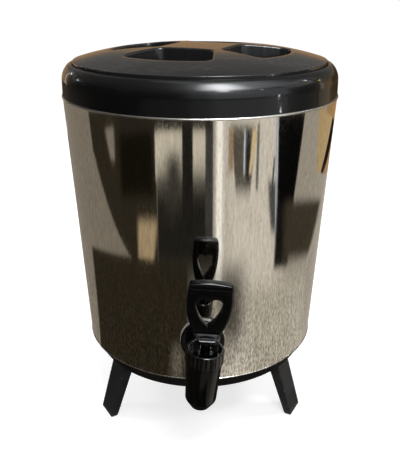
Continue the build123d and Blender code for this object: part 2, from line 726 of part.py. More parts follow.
def plate_outline():
    """Shield outline of the lever's grip plate."""
    top = PLATE_BOTTOM + PLATE_HEIGHT
    flank = Spline(
        (PLATE_FOOT_WIDTH / 2, PLATE_BOTTOM),
        (PLATE_LOW_WIDTH / 2, PLATE_BOTTOM + PLATE_LOW_HEIGHT),
        (PLATE_WIDE_WIDTH / 2, PLATE_BOTTOM + PLATE_WIDE_HEIGHT),
        (PLATE_TOP_WIDTH / 2, top),
    )
    arch = ThreePointArc(flank @ 1, (0, top + PLATE_ARCH), (-PLATE_TOP_WIDTH / 2, top))
    foot = Line(mirror(flank, Plane.YZ) @ 0, flank @ 0)
    return make_face([flank, arch, mirror(flank, Plane.YZ), foot])


def lever():
    front_view = Plane.XZ.offset(-PLATE_THICKNESS / 2)
    plate = extrude(front_view * plate_outline(), amount=PLATE_THICKNESS)
    top_corners = plate.edges().filter_by(Axis.Y).group_by(Axis.Z)[-1]
    plate = fillet(top_corners, PLATE_CORNER)
    sides = plate.faces().sort_by(Axis.Y)
    rims = [edge for side in (sides[0], sides[-1]) for edge in side.edges()]
    plate = fillet([edge for edge in rims if (edge @ 0.5).Z > PLATE_BOTTOM + FIT], PLATE_EDGE)
    hole = extrude(front_view * heart(), amount=PLATE_THICKNESS)
    middle = LEDGE_HEIGHT + LEDGE_BACK_HEIGHT / 2
    neck = Pos(0, 0, middle) * Box(PLATE_FOOT_WIDTH, PLATE_THICKNESS, LEDGE_BACK_HEIGHT)
    back = Pos(0, -PLATE_THICKNESS / 2, middle) * Rot(90, 0, 0)
    front = Pos(0, -PLATE_THICKNESS / 2 - LEDGE_FORWARD, LEDGE_HEIGHT + LEDGE_FRONT_HEIGHT / 2)
    front *= Rot(90, 0, 0)
    ledge = loft([
        back * Rectangle(PLATE_FOOT_WIDTH, LEDGE_BACK_HEIGHT),
        front * Rectangle(LEDGE_FRONT_WIDTH, LEDGE_FRONT_HEIGHT),
    ])
    whole = plate - hole + neck + ledge + cheek(1) + cheek(-1)
    pin_hole = Pos(0, 0, PIN_HEIGHT) * Rot(0, 90, 0) * Cylinder(PIN_RADIUS, PLATE_FOOT_WIDTH)
    return TAP_FRAME * (whole - pin_hole)


def lever_pin():
    pin = Pos(0, 0, PIN_HEIGHT) * Rot(0, 90, 0) * Cylinder(PIN_RADIUS, 2 * CHEEK_OUTSIDE)
    return TAP_FRAME * pin


PARTS = {
    "outer_shell": outer_shell(),
    "inner_liner": inner_liner(),
    "foam_insulation": foam_insulation(),
    "top_collar": top_collar(),
    "base_cover": base_cover(),
    "leg_screws": leg_screws(),
    "lid_cover": lid_cover(),
    "lid_pan": lid_pan(),
    "lid_foam": lid_foam(),
    "lid_gasket": lid_gasket(),
    "tap_sleeve": tap_sleeve(),
    "tap_outer_washer": tap_outer_washer(),
    "tap_inner_washer": tap_inner_washer(),
    "tap_nut": tap_nut(),
    "tap_body": tap_body(),
    "tap_bonnet": tap_bonnet(),
    "valve_stem": valve_stem(),
    "seat_cup": seat_cup(),
    "lever": lever(),
    "lever_pin": lever_pin(),
}
PARTS.update({name: leg(azimuth) for name, azimuth in LEG_AZIMUTHS.items()})

os.makedirs("parts", exist_ok=True)
for name, shape in PARTS.items():
    export_step(shape, f"parts/{name}.step")

# Places that others need: the lever's axis and the middle of the outlet
pin_place = (TAP_FRAME * Pos(0, 0, PIN_HEIGHT)).position
outlet_place = (TAP_FRAME * Pos(0, 0, -SPOUT_DROP)).position
print("lever pin", pin_place, "outlet", outlet_place)
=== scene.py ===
# %% [markdown]
# # An insulated drink dispenser
# The dispenser is a tapered steel vessel with a black collar, a lift-off lid, three splayed legs and a
# lever tap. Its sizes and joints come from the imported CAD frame. Here every visible piece is rebuilt as
# a smooth surface from arrays of points, takes its finish from small node setups, and rides on the CAD
# body it belongs to.

# %% Load the frame
import json
from math import cos, pi, radians, sin, tan

import bmesh
import bpy
import numpy as np
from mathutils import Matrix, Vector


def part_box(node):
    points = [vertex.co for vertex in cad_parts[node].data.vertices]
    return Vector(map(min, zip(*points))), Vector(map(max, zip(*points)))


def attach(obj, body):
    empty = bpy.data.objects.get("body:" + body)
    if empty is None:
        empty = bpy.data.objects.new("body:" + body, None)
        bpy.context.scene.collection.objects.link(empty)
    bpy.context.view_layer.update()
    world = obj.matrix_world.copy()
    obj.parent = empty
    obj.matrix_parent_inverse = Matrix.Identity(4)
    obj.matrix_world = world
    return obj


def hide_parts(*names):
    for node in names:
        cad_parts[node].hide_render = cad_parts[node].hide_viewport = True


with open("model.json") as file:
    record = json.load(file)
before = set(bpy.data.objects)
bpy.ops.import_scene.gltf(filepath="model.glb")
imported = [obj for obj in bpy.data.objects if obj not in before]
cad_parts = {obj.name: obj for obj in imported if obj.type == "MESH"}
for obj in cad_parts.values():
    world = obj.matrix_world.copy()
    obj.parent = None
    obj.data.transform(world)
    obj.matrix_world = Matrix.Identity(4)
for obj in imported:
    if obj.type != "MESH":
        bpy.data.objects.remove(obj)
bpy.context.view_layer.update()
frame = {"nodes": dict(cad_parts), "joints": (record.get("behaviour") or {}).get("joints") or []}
MM = 0.001

# %% [markdown]
# ## Measuring the frame
# The pieces are worked out in millimetres, as on a drawing, and only the finished mesh is turned into
# metres. The main heights and radii could be typed in again, but here they are read from the CAD nodes,
# so a new model.glb moves the pieces with it.

# %% Heights and radii from the CAD nodes
TOUCH = 0.05


def span(node):
    """Lowest and highest corner of a CAD node, in millimetres."""
    low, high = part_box(node)
    return np.array(low) / MM, np.array(high) / MM


def reach(node, low, high):
    """Greatest distance from the Z axis of a CAD node's points between two heights, in millimetres."""
    vertices = frame["nodes"][node].data.vertices
    points = np.empty(len(vertices) * 3)
    vertices.foreach_get("co", points)
    points = points.reshape(-1, 3) / MM
    inside = (points[:, 2] >= low) & (points[:, 2] <= high)
    return np.hypot(points[inside, 0], points[inside, 1]).max()


base_z = span("base_cover")[0][2]
shell_z = span("outer_shell")[0][2]
collar_z = span("outer_shell")[1][2]
rim_z = span("top_collar")[1][2]
lid_top_z = span("lid_cover")[1][2]
lid_radius = span("lid_cover")[1][0]
shell_foot = reach("outer_shell", shell_z - TOUCH, shell_z + TOUCH)
collar_radius = reach("top_collar", collar_z - TOUCH, collar_z + TOUCH)
print(f"shell {shell_foot:.1f} to {collar_radius:.1f} mm, rim at {rim_z:.1f}, lid top at {lid_top_z:.1f}")

# %% [markdown]
# ## Outlines
# Most pieces start as a drawing: corners in a plane, some of them rounded. Bevelling the finished mesh
# would round its edges as well, but arcs that are worked out on the drawing keep each radius exact, and
# the points crowd where the surface bends.

# %% Outlines with rounded corners
def rounded(corners, closed=True, arc_steps=6, run=6):
    """An outline from corners (u, v) or (u, v, radius). A rounded corner is the arc that touches both its
    sides: its centre lies on their bisector, radius / sin(half the angle) away from the corner. The
    straight runs between get points that crowd towards their ends like a cosine."""
    corners = [tuple(corner) + (0.0,) * (3 - len(corner)) for corner in corners]
    arcs = []
    for i, (u, v, radius) in enumerate(corners):
        here = np.array([u, v])
        if radius == 0 or (not closed and i in (0, len(corners) - 1)):
            arcs.append(here[None])
            continue
        before = np.array(corners[i - 1][:2]) - here
        after = np.array(corners[(i + 1) % len(corners)][:2]) - here
        before = before / np.linalg.norm(before)
        after = after / np.linalg.norm(after)
        half = np.arccos(before @ after) / 2
        centre = here + (before + after) / np.linalg.norm(before + after) * radius / sin(half)
        first = here + before * radius / tan(half) - centre
        last = here + after * radius / tan(half) - centre
        start = np.arctan2(first[1], first[0])
        turn = (np.arctan2(last[1], last[0]) - start + pi) % (2 * pi) - pi
        angle = start + turn * np.linspace(0, 1, arc_steps + 1)
        arcs.append(centre + radius * np.stack([np.cos(angle), np.sin(angle)], 1))
    ease = (1 - np.cos(pi * np.linspace(0, 1, run + 1)[1:-1, None])) / 2
    outline = []
    for i, arc in enumerate(arcs):
        outline.append(arc)
        if closed or i < len(arcs) - 1:
            outline.append(arc[-1] + (arcs[(i + 1) % len(arcs)][0] - arc[-1]) * ease)
    return np.concatenate(outline)


sample = rounded([(0, 0, 1), (4, 0, 1), (4, 4, 1), (0, 4, 1)])
print("a square with rounded corners takes", len(sample), "points")

# %% [markdown]
# ## Turned surfaces and meshes
# A turned piece is a profile carried round an axis: a grid with a row for each profile point and a column
# for each angle. The Screw modifier could do that too, but a grid that is made as an array can also carry
# waves such as ribs and flats. One helper then makes the quads, welds the points that meet at seams and
# poles, turns the faces outward and keeps edges crisp only where the surface really bends.

# %% From grids to pieces
WELD = 1e-6
CRISP = 38.0


def turned(profile, steps=192, wave=None):
    """A profile of (radius, height) carried round Z: x = radius cos(angle), y = radius sin(angle). A wave
    takes the angle and gives what comes off the radius of each profile point."""
    angle = np.linspace(0, 2 * pi, steps, endpoint=False)
    radius = profile[:, :1] - (0 if wave is None else wave(angle))
    return np.stack([radius * np.cos(angle), radius * np.sin(angle), profile[:, 1:] + 0 * angle], -1)


def quads(rows, columns, close_rows):
    """Corner numbers of the quads of a grid whose columns always close into a ring: point (r, c) has the
    number r times columns plus c."""
    row = np.arange(rows if close_rows else rows - 1)[:, None]
    column = np.arange(columns)[None]
    next_row, next_column = (row + 1) % rows, (column + 1) % columns
    corners = [row * columns + column, next_row * columns + column,
               next_row * columns + next_column, row * columns + next_column]
    return np.stack(corners, -1).reshape(-1, 4)


def make_piece(name, grids, body, finish, node, rings=0):
    """One object from point grids in millimetres, in place of a CAD node. The first grids, as many as
    rings says, also close from their last row to their first."""
    points, faces, start = [], [], 0
    for i, grid in enumerate(grids):
        rows, columns = grid.shape[:2]
        points.append(grid.reshape(-1, 3) * MM)
        faces.append(quads(rows, columns, i < rings) + start)
        start += rows * columns
    mesh = bpy.data.meshes.new(name)
    mesh.from_pydata(np.concatenate(points).tolist(), [], np.concatenate(faces).tolist())
    work = bmesh.new()
    work.from_mesh(mesh)
    bmesh.ops.remove_doubles(work, verts=work.verts, dist=WELD)
    bmesh.ops.recalc_face_normals(work, faces=work.faces)
    work.to_mesh(mesh)
    work.free()
    mesh.shade_smooth()
    mesh.set_sharp_from_angle(angle=radians(CRISP))
    mesh.materials.append(finish)
    piece = bpy.data.objects.new(name, mesh)
    bpy.context.scene.collection.objects.link(piece)
    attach(piece, body)
    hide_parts(node)
    print(f"{name}: {len(mesh.polygons)} faces")


print("a ring of 2 rows and 8 columns has", len(quads(2, 8, False)), "quads")

# %% [markdown]
# ## Nodes in few words
# A finish is a tree of small nodes. They can be placed and joined by hand in the Shader Editor. In a
# script, a helper for each kind of node that comes back lets a line of code read like the formula that
# it stands for.

# %% Node helpers
def add_node(tree, kind, links=(), **settings):
    """A node with its settings; links are (input, source socket or constant)."""
    node = tree.nodes.new(kind)
    for key, value in settings.items():
        setattr(node, key, value)
    for key, source in links:
        if isinstance(source, bpy.types.NodeSocket):
            tree.links.new(source, node.inputs[key])
        else:
            node.inputs[key].default_value = source
    return node


def maths(tree, operation, *values):
    """Result of an operation on numbers."""
    return add_node(tree, "ShaderNodeMath", enumerate(values), operation=operation).outputs[0]


def vectors(tree, operation, *values):
    """Result of an operation on vectors; a plain number counts for all three directions."""
    return add_node(tree, "ShaderNodeVectorMath", enumerate(values), operation=operation).outputs[0]


def parts(tree, vector):
    """The X, Y and Z of a vector."""
    return add_node(tree, "ShaderNodeSeparateXYZ", [(0, vector)]).outputs


def joined(tree, **values):
    """A vector from its X, Y and Z; those left out are 0."""
    return add_node(tree, "ShaderNodeCombineXYZ", values.items()).outputs[0]


def noise(tree, place, scale, detail):
    """Smooth noise between 0 and 1, mostly between 0.3 and 0.7."""
    return add_node(tree, "ShaderNodeTexNoise",
                    [("Vector", place), ("Scale", scale), ("Detail", detail)]).outputs["Fac"]


def ranged(tree, value, start, end, low=0.0, high=1.0, smooth=False):
    """Carries a value from the range start to end over to low to high, and stops at both ends."""
    links = [("Value", value), ("From Min", start), ("From Max", end), ("To Min", low), ("To Max", high)]
    kind = "SMOOTHSTEP" if smooth else "LINEAR"
    return add_node(tree, "ShaderNodeMapRange", links, interpolation_type=kind).outputs[0]


print("node helpers", [helper.__name__ for helper in (maths, vectors, parts, joined, noise, ranged)])

# %% [markdown]
# ## Hairlines and moulded grain
# A brush leaves hairlines round a turned sheet, and the tool leaves a fine grain on a moulding. Both
# could be painted as pictures, but noise has no seam and no pixels. For the hairlines, the noise is read
# at a place that changes quickly with the height and slowly round the axis. Several finishes share these
# effects, so each is a node group with named inputs.

# %% Two groups for surface texture
def new_group(name, output, **values):
    """An empty shader group with a Vector input, number inputs with their usual values, and one output."""
    group = bpy.data.node_groups.new(name, "ShaderNodeTree")
    group.interface.new_socket("Vector", in_out="INPUT", socket_type="NodeSocketVector")
    for label, usual in values.items():
        socket = group.interface.new_socket(label, in_out="INPUT", socket_type="NodeSocketFloat")
        socket.default_value = usual
    group.interface.new_socket(output, in_out="OUTPUT", socket_type="NodeSocketFloat")
    given = group.nodes.new("NodeGroupInput").outputs
    return group, given, group.nodes.new("NodeGroupOutput").inputs[output]


def streaks(group, flat, rounds, distance, detail):
    """Noise at the flat direction times rounds, plus a distance along Z: it is drawn out where the one
    changes slower than the other."""
    around = vectors(group, "MULTIPLY", vectors(group, "NORMALIZE", flat), rounds)
    return noise(group, vectors(group, "ADD", around, joined(group, Z=distance)), 1.0, detail)


hairlines, given, result = new_group("hairlines", "Height", Lines=900.0, Round=4.0)
x, y, z = parts(hairlines, given["Vector"])
lines = maths(hairlines, "MULTIPLY", z, given["Lines"])
hairlines.links.new(streaks(hairlines, joined(hairlines, X=x, Y=y), given["Round"], lines, 3.0), result)

grain, given, result = new_group("moulded grain", "Height", Fineness=1500.0)
grain.links.new(noise(grain, given["Vector"], given["Fineness"], 2.0), result)
print("groups", [group.name for group in (hairlines, grain)])

# %% [markdown]
# ## Dust
# Black plastic in use is never quite black: dust lies in patches of fine specks on what faces up, and
# hands and cloths leave it on the sides of the legs too. A single noise would look like clouds, so broad
# patches are multiplied by fine specks, and by how far the surface faces up.

# %% A group for dust
PATCH_FULL = 0.85
SPECK_RANGE = (0.42, 0.72)
SETTLED = 0.8
DUST_DETAIL = 4.0

dust, given, result = new_group("dust", "Mask", Patches=30.0, Specks=900.0, Cover=0.5, Sides=0.0)
bare = maths(dust, "SUBTRACT", 1.0, given["Cover"])
patches = noise(dust, given["Vector"], given["Patches"], DUST_DETAIL)
specks = noise(dust, given["Vector"], given["Specks"], DUST_DETAIL)
spots = maths(dust, "MULTIPLY", ranged(dust, patches, bare, PATCH_FULL, smooth=True),
              ranged(dust, specks, *SPECK_RANGE, smooth=True))
upward = parts(dust, add_node(dust, "ShaderNodeNewGeometry").outputs["Normal"])["Z"]
reached = maths(dust, "MAXIMUM", ranged(dust, upward, 0.0, SETTLED), given["Sides"])
dust.links.new(maths(dust, "MULTIPLY", spots, reached), result)
print("inputs of the dust", [socket.name for socket in given if socket.name])

# %% [markdown]
# ## From groups to a finish
# Every finish is a material with one Principled shader. What is the same all over is set on the shader
# itself, and only what changes over the surface comes from a group. So a finish is started with plain
# values, takes a group at its own place and scale, mixes two colours by it, or uses it as relief.

# %% Parts of a finish
def new_finish(name, colour, roughness, **sockets):
    """A material whose Principled shader has plain values; returns it with its tree and shader."""
    material = bpy.data.materials.new(name)
    material.use_nodes = True
    tree = material.node_tree
    shader = tree.nodes["Principled BSDF"]
    shader.inputs["Base Color"].default_value = (*colour, 1)
    shader.inputs["Roughness"].default_value = roughness
    for socket, value in sockets.items():
        shader.inputs[socket.replace("_", " ")].default_value = value
    return material, tree, shader


def place_group(tree, group, stretch=(1, 1, 1), coordinates="Object", **values):
    """A group in a material, fed with coordinates that may be stretched; returns its output."""
    place = add_node(tree, "ShaderNodeTexCoord").outputs[coordinates]
    links = [("Vector", vectors(tree, "MULTIPLY", place, stretch)), *values.items()]
    return add_node(tree, "ShaderNodeGroup", node_tree=group, links=links).outputs[0]


def tint(tree, value, start, end, low, high, socket):
    """Mixes two colours as a value goes from start to end."""
    mix = add_node(tree, "ShaderNodeMix", [("Factor", ranged(tree, value, start, end))], data_type="RGBA")
    mix.inputs[6].default_value = (*low, 1)
    mix.inputs[7].default_value = (*high, 1)
    tree.links.new(mix.outputs[2], socket)


def relief(tree, height, depth, shader):
    """Bump of a depth in metres from a height."""
    bump = add_node(tree, "ShaderNodeBump", [("Height", height), ("Distance", depth)])
    tree.links.new(bump.outputs["Normal"], shader.inputs["Normal"])


print("materials before the first finish", [material.name for material in bpy.data.materials])

# %% [markdown]
# ## Brushed steel
# The jacket is brushed round its axis, so its highlights are drawn out up and down. That is what the
# Anisotropic value does along a radial tangent. Bump alone would sparkle at this scale, so the strokes
# also vary tone and roughness, more near the foot than higher up, where the sheet looks nearly polished.
# The rolled bead on top is duller.

# %% Brushed steel
NOISE_RANGE = (0.3, 0.7)
BRUSH_STRETCH = 0.5
BRUSH_TURN = 0.25
STROKE_DEPTH = 0.0000006
STROKE_ROUGH = (-0.02, 0.03)
GRAIN_FADE = 120.0
BEAD_ZONE = (-2.1, -1.8)
BEAD_DULL = 0.3


def brushed(name, dark, bright, roughness, lines, rounds, shown=(1.0, 1.0)):
    """Metal with strokes laid round the Z axis. Their tone is 0.5 plus the noise's distance from 0.5 times
    a gain, which shown gives at the jacket's foot and higher up."""
    material, tree, shader = new_finish(name, bright, roughness, Metallic=1.0, Anisotropic=BRUSH_STRETCH,
                                        Anisotropic_Rotation=BRUSH_TURN)
    strokes = place_group(tree, hairlines, Lines=lines, Round=rounds)
    height = parts(tree, add_node(tree, "ShaderNodeTexCoord").outputs["Object"])["Z"]
    gain = ranged(tree, height, shell_z * MM, (shell_z + GRAIN_FADE) * MM, *shown)
    tone = maths(tree, "MULTIPLY_ADD", maths(tree, "SUBTRACT", strokes, 0.5), gain, 0.5)
    tint(tree, tone, *NOISE_RANGE, dark, bright, shader.inputs["Base Color"])
    smoothest, roughest = [roughness + change for change in STROKE_ROUGH]
    lined = ranged(tree, strokes, *NOISE_RANGE, smoothest, roughest)
    bead_low, bead_high = [(collar_z + z) * MM for z in BEAD_ZONE]
    dulled = ranged(tree, height, bead_low, bead_high, 0.0, BEAD_DULL)
    tree.links.new(maths(tree, "ADD", lined, dulled), shader.inputs["Roughness"])
    relief(tree, strokes, STROKE_DEPTH, shader)
    tangent = add_node(tree, "ShaderNodeTangent", direction_type="RADIAL", axis="Z")
    tree.links.new(tangent.outputs["Tangent"], shader.inputs["Tangent"])
    return material


shell_steel = brushed("shell steel", dark=(0.37, 0.355, 0.33), bright=(0.80, 0.775, 0.72), roughness=0.055,
                      lines=220.0, rounds=120.0, shown=(2.2, 0.25))
liner_steel = brushed("liner steel", dark=(0.52, 0.51, 0.49), bright=(0.64, 0.63, 0.61), roughness=0.22,
                      lines=900.0, rounds=12.0)
print("steel finishes", shell_steel.name, "and", liner_steel.name)

# %% [markdown]
# ## Moulded plastic and small finishes
# All the plastic is near black and differs mainly in gloss. The collar and the tap are polished, which a
# thin clear coat over a dull ground gives, the lid and base are satin and the legs matt. Dust and fine
# scuffs make them greyer: along the lid the scuffs are drawn out sideways, and the legs carry dust on all
# their sides. One function with named values makes them all, so they can be compared at a glance.

# %% Plastic, silicone, foam and screws
DUST_GREY = (0.10, 0.095, 0.085)
DUST_ROUGH = 0.25
PLASTIC_GLOSS = 0.2
TAP_GLOSS = 0.06


def plain(name, colour, roughness, fineness, depth, **sockets):
    """A finish with only a fine grain."""
    material, tree, shader = new_finish(name, colour, roughness, **sockets)
    relief(tree, place_group(tree, grain, Fineness=fineness), depth, shader)
    return material


def moulded(name, colour, roughness, fineness, depth, cover, gloss=PLASTIC_GLOSS, stretch=(1, 1, 1),
            sides=0.0, **sockets):
    """Black plastic with a tool's grain and a little dust, on what faces up or on all sides."""
    material = plain(name, colour, roughness, fineness, depth, Specular_IOR_Level=gloss, **sockets)
    tree = material.node_tree
    shader = tree.nodes["Principled BSDF"]
    mask = place_group(tree, dust, stretch, Cover=cover, Sides=sides)
    tint(tree, mask, 0.0, 1.0, colour, DUST_GREY, shader.inputs["Base Color"])
    rough = ranged(tree, mask, 0.0, 1.0, roughness, roughness + DUST_ROUGH)
    tree.links.new(rough, shader.inputs["Roughness"])
    return material


collar_gloss = moulded("collar gloss", colour=(0.0025, 0.0025, 0.0027), roughness=0.33, fineness=700.0,
                       depth=0.00001, cover=0.42, Coat_Weight=0.4, Coat_Roughness=0.05)
lid_satin = moulded("lid satin", colour=(0.011, 0.011, 0.0115), roughness=0.26, fineness=1800.0,
                    depth=0.00003, cover=0.60, stretch=(0.14, 1, 1), Coat_Weight=0.35, Coat_Roughness=0.12)
base_satin = moulded("base satin", colour=(0.009, 0.009, 0.0095), roughness=0.40, fineness=1800.0,
                     depth=0.00004, cover=0.40)
leg_matt = moulded("leg matt", colour=(0.017, 0.017, 0.0175), roughness=0.50, fineness=1400.0,
                   depth=0.00006, cover=0.62, sides=1.0)
tap_gloss, cap_gloss = [
    moulded(name, colour=(0.002, 0.002, 0.0022), roughness=0.20, fineness=900.0, depth=0.00001, cover=0.36,
            gloss=TAP_GLOSS, Coat_Weight=coat, Coat_Roughness=coat_roughness)
    for name, coat, coat_roughness in (("tap gloss", 0.45, 0.05), ("cap gloss", 1.0, 0.04))]
silicone = plain("silicone", colour=(0.30, 0.28, 0.25), roughness=0.5, fineness=1500.0, depth=0.00003)
foam = plain("foam", colour=(0.72, 0.62, 0.38), roughness=0.9, fineness=700.0, depth=0.0005)
screw_steel = plain("screw steel", colour=(0.55, 0.55, 0.54), roughness=0.3, fineness=2500.0, depth=0.00001,
                    Metallic=1.0)
print("finishes", len(bpy.data.materials))

# %% [markdown]
# ## The steel jacket
# The outer wall is one sheet, wider at the top, rolled into a bead under the collar and into a small hem
# at the foot, where it turns in under the vessel. It could be a stretched cone, but a turned profile gives
# the wall its thickness, the bead and the hem in one go.

# %% Jacket
ROUND_STEPS = 256
SHEET = 0.6
BEAD = 1.0
FOOT_LIP = 7.0
FOOT_HEM = 0.7
HEM_INSET = 0.2
BEAD_TURN = np.linspace(-pi / 2, pi, 13)[1:-1]
HEM_TURN = np.linspace(-pi / 2, pi / 2, 9)


def roll(radius, height, size, angle):
    """A round edge in section: a circle of a size about (radius, height), at given angles."""
    return np.stack([radius + size * np.cos(angle), height + size * np.sin(angle)], 1)


bead = roll(collar_radius, collar_z - BEAD, BEAD, BEAD_TURN)
hem = roll(shell_foot - HEM_INSET, shell_z + FOOT_HEM, FOOT_HEM, HEM_TURN)
foot_edge = np.array([[shell_foot - FOOT_LIP, shell_z]])
wall_ends = [(shell_foot, shell_z + 2 * FOOT_HEM), (collar_radius, collar_z - 2 * BEAD)]
wall = rounded(wall_ends, closed=False, run=12)
inside = rounded([(collar_radius - SHEET, collar_z - BEAD), (shell_foot - SHEET, shell_z + SHEET),
                  (shell_foot - FOOT_LIP, shell_z + SHEET)], closed=False)
jacket_profile = np.concatenate([foot_edge, hem, wall, bead, inside])
jacket = turned(jacket_profile, ROUND_STEPS)
make_piece("jacket", [jacket], "vessel", shell_steel, "outer_shell", rings=1)

# %% [markdown]
# ## The collar
# A polished ring caps the wall. Its side is nearly upright and rolls over a broad shoulder to a narrow
# rim, inside which the lid sits on a ledge. The shoulder carries the collar's highlight, so it is made
# from two large tangent arcs and not from a bevel.

# %% Collar
DRAFT = 0.5
WALL = 3.0
HEEL = 0.3
SLOPE_HEIGHT = 8.0
SLOPE_WIDTH = 6.0
RIM_FALL = 1.2
SHOULDER_ARC = 18.0
BROW_ARC = 5.0
EDGE = 1.0
SEAT_DEPTH = 6.8
SEAM = 0.6
LEDGE = 11.8
NECK = 15.7
SPIGOT = 13.0
SPIGOT_GAP = 1.0
shoulder = collar_radius - DRAFT
seat = lid_radius + SEAM
ledge_z = rim_z - SEAT_DEPTH
mouth = seat - LEDGE
neck_z = ledge_z - NECK
spigot = collar_radius - SHEET - SPIGOT_GAP
collar_profile = rounded([
    (collar_radius, collar_z + TOUCH, HEEL),
    (shoulder, rim_z - SLOPE_HEIGHT, SHOULDER_ARC),
    (shoulder - SLOPE_WIDTH, rim_z - RIM_FALL, BROW_ARC),
    (seat, rim_z, EDGE),
    (seat, ledge_z),
    (mouth, ledge_z, EDGE),
    (mouth, neck_z),
    (mouth + WALL, neck_z),
    (mouth + WALL, ledge_z - WALL),
    (seat + WALL, ledge_z - WALL),
    (seat + WALL, rim_z - SLOPE_HEIGHT),
    (shoulder - WALL, rim_z - SLOPE_HEIGHT),
    (shoulder - WALL, collar_z + WALL),
    (spigot - WALL, collar_z + WALL),
    (spigot - WALL, collar_z - SPIGOT),
    (spigot, collar_z - SPIGOT),
    (spigot, collar_z + TOUCH),
])
collar = turned(collar_profile, ROUND_STEPS)
make_piece("collar", [collar], "vessel", collar_gloss, "top_collar", rings=1)

# %% [markdown]
# ## The lid's pockets
# Four finger pockets leave a cross of bars in the low dome of the lid. Seen from above, a pocket is a
# wedge with rounded corners: two flanks that flare outward and an arc that runs with the lid's edge.

# %% Pocket outline
POCKETS = 4
POCKET_INNER = 32.0
POCKET_OUTER = 88.5
POCKET_WEB = 7.0
POCKET_FLARE = 21.0
POCKET_CORNER = 10.0
ARC_POINTS = 7
ARC_SMOOTH = 60.0


def pocket_outline():
    """Rounded wedge between two bars. A flank is y = offset + slope x, and it meets the outer arc at the x
    that solves x squared + (offset + slope x) squared = outer radius squared."""
    half_turn = pi / POCKETS
    half = (POCKET_INNER * sin(half_turn) - POCKET_WEB / 2) / cos(half_turn)
    slope = tan(radians(POCKET_FLARE))
    offset = half - POCKET_INNER * slope
    square = 1 + slope ** 2
    end = (-offset * slope + (POCKET_OUTER ** 2 * square - offset ** 2) ** 0.5) / square
    limit = np.arctan2(offset + slope * end, end)
    angles = np.linspace(-limit, limit, ARC_POINTS)
    radii = [POCKET_CORNER, *[ARC_SMOOTH] * (ARC_POINTS - 2), POCKET_CORNER]
    arc = [(POCKET_OUTER * cos(a), POCKET_OUTER * sin(a), radius) for a, radius in zip(angles, radii)]
    inner = [(POCKET_INNER, -half, POCKET_CORNER), (POCKET_INNER, half, POCKET_CORNER)]
    return rounded([inner[0], *arc, inner[1]], arc_steps=10)


print("pocket", np.ptp(pocket_outline(), axis=0).round(1), "mm")

# %% [markdown]
# ## The lid's dome
# The lid's top is flat in the middle and falls off towards the edge, faster the further out. A slice of a
# sphere would be too round in the middle, so the height falls with the cube of the distance. A second
# helper tells how far an outline is from a point inside it, in any direction.

# %% Dome and rays
CROWN = 12.6
CROWN_POWER = 3


def dome(radius):
    """Height of the lid's top, falling with the cube of the distance from its middle."""
    return lid_top_z - CROWN * (radius / lid_radius) ** CROWN_POWER


def polar(outline, centre, angle):
    """Distance from a centre to an outline that it sees all of, at given angles."""
    x, y = (outline - centre).T
    return np.interp(angle, np.arctan2(y, x), np.hypot(x, y), period=2 * pi)


print(f"the dome falls {dome(0) - dome(lid_radius):.1f} mm to the lid's edge")

# %% [markdown]
# ## A quarter of the lid
# Cutting the pockets out of a dome would leave ragged faces, so each quarter of the lid is one grid. Its
# columns are rays from the middle of the pocket, and its rows run over the floor, up the wall, round the
# rim and out to the quarter's border. The borders are sampled alike on both sides, so the four quarters
# weld into one skin.

# %% One quarter
POCKET_DEPTH = 25.0
POCKET_DRAFT = 2.0
POCKET_RIM = 2.0
POCKET_FOOT = 3.0
LID_LIP = 1.0
EDGE_POINTS = 36
RIM_POINTS = 48
FLOOR_ROWS = np.array([[0.0], [0.5], [0.9]])
WALL_ROWS = np.array([[0.3], [0.7]])
BEND_ROWS = np.linspace(0, pi / 2, 6)[:, None]
TOP_ROWS = np.linspace(0, 1, 12)[1:, None]


def quarter():
    """One quarter of the lid, with its pocket pointing along +X. Along each ray the rows are the flat
    floor, a quarter circle at its foot, the drafted wall, a quarter circle at the rim, and the dome."""
    top_radius = lid_radius - LID_LIP
    corner = pi / POCKETS
    along = np.linspace(0, 1, EDGE_POINTS)[:-1, None] * top_radius
    right = along * np.array([cos(corner), -sin(corner)])
    sweep = np.linspace(-corner, corner, RIM_POINTS)
    rim = top_radius * np.stack([np.cos(sweep), np.sin(sweep)], 1)
    left = along[:0:-1] * np.array([cos(corner), sin(corner)])
    middle = np.array([(POCKET_INNER + POCKET_OUTER) / 2, 0])
    away = np.concatenate([right, rim, left]) - middle
    angle = np.arctan2(away[:, 1], away[:, 0])
    unit = np.stack([np.cos(angle), np.sin(angle)], 1)
    wall = polar(pocket_outline(), middle, angle)
    limit = np.hypot(away[:, 0], away[:, 1])
    floor = lid_top_z - POCKET_DEPTH
    low_wall = wall - POCKET_DRAFT
    ground = FLOOR_ROWS * (low_wall - POCKET_FOOT)
    foot = low_wall - POCKET_FOOT + POCKET_FOOT * np.sin(BEND_ROWS)
    foot_z = floor + POCKET_FOOT * (1 - np.cos(BEND_ROWS)) + 0 * wall
    brim = wall + POCKET_RIM
    brim_z = dome(np.linalg.norm(middle + unit * brim[:, None], axis=1))
    upright_z = foot_z[-1] + (brim_z - POCKET_RIM - foot_z[-1]) * WALL_ROWS
    rim_out = brim - POCKET_RIM * np.cos(BEND_ROWS)
    rim_up = brim_z - POCKET_RIM + POCKET_RIM * np.sin(BEND_ROWS)
    top = brim + (limit - brim) * TOP_ROWS
    distance = np.concatenate([ground, foot, low_wall + POCKET_DRAFT * WALL_ROWS, rim_out, top])
    plan = middle + unit * distance[..., None]
    top_z = dome(np.linalg.norm(plan[-len(TOP_ROWS):], axis=-1))
    height = np.concatenate([np.full_like(ground, floor), foot_z, upright_z, rim_up, top_z])
    return np.concatenate([plan, height[..., None]], -1)


skin = quarter()
print("rows and columns of a quarter", skin.shape[:2])

# %% [markdown]
# ## The lid
# The whole lid is the quarter turned four times, and a skirt that goes over its edge, in under it and down
# the plug. The skirt has as many columns as the four rims together, so it welds to them too.

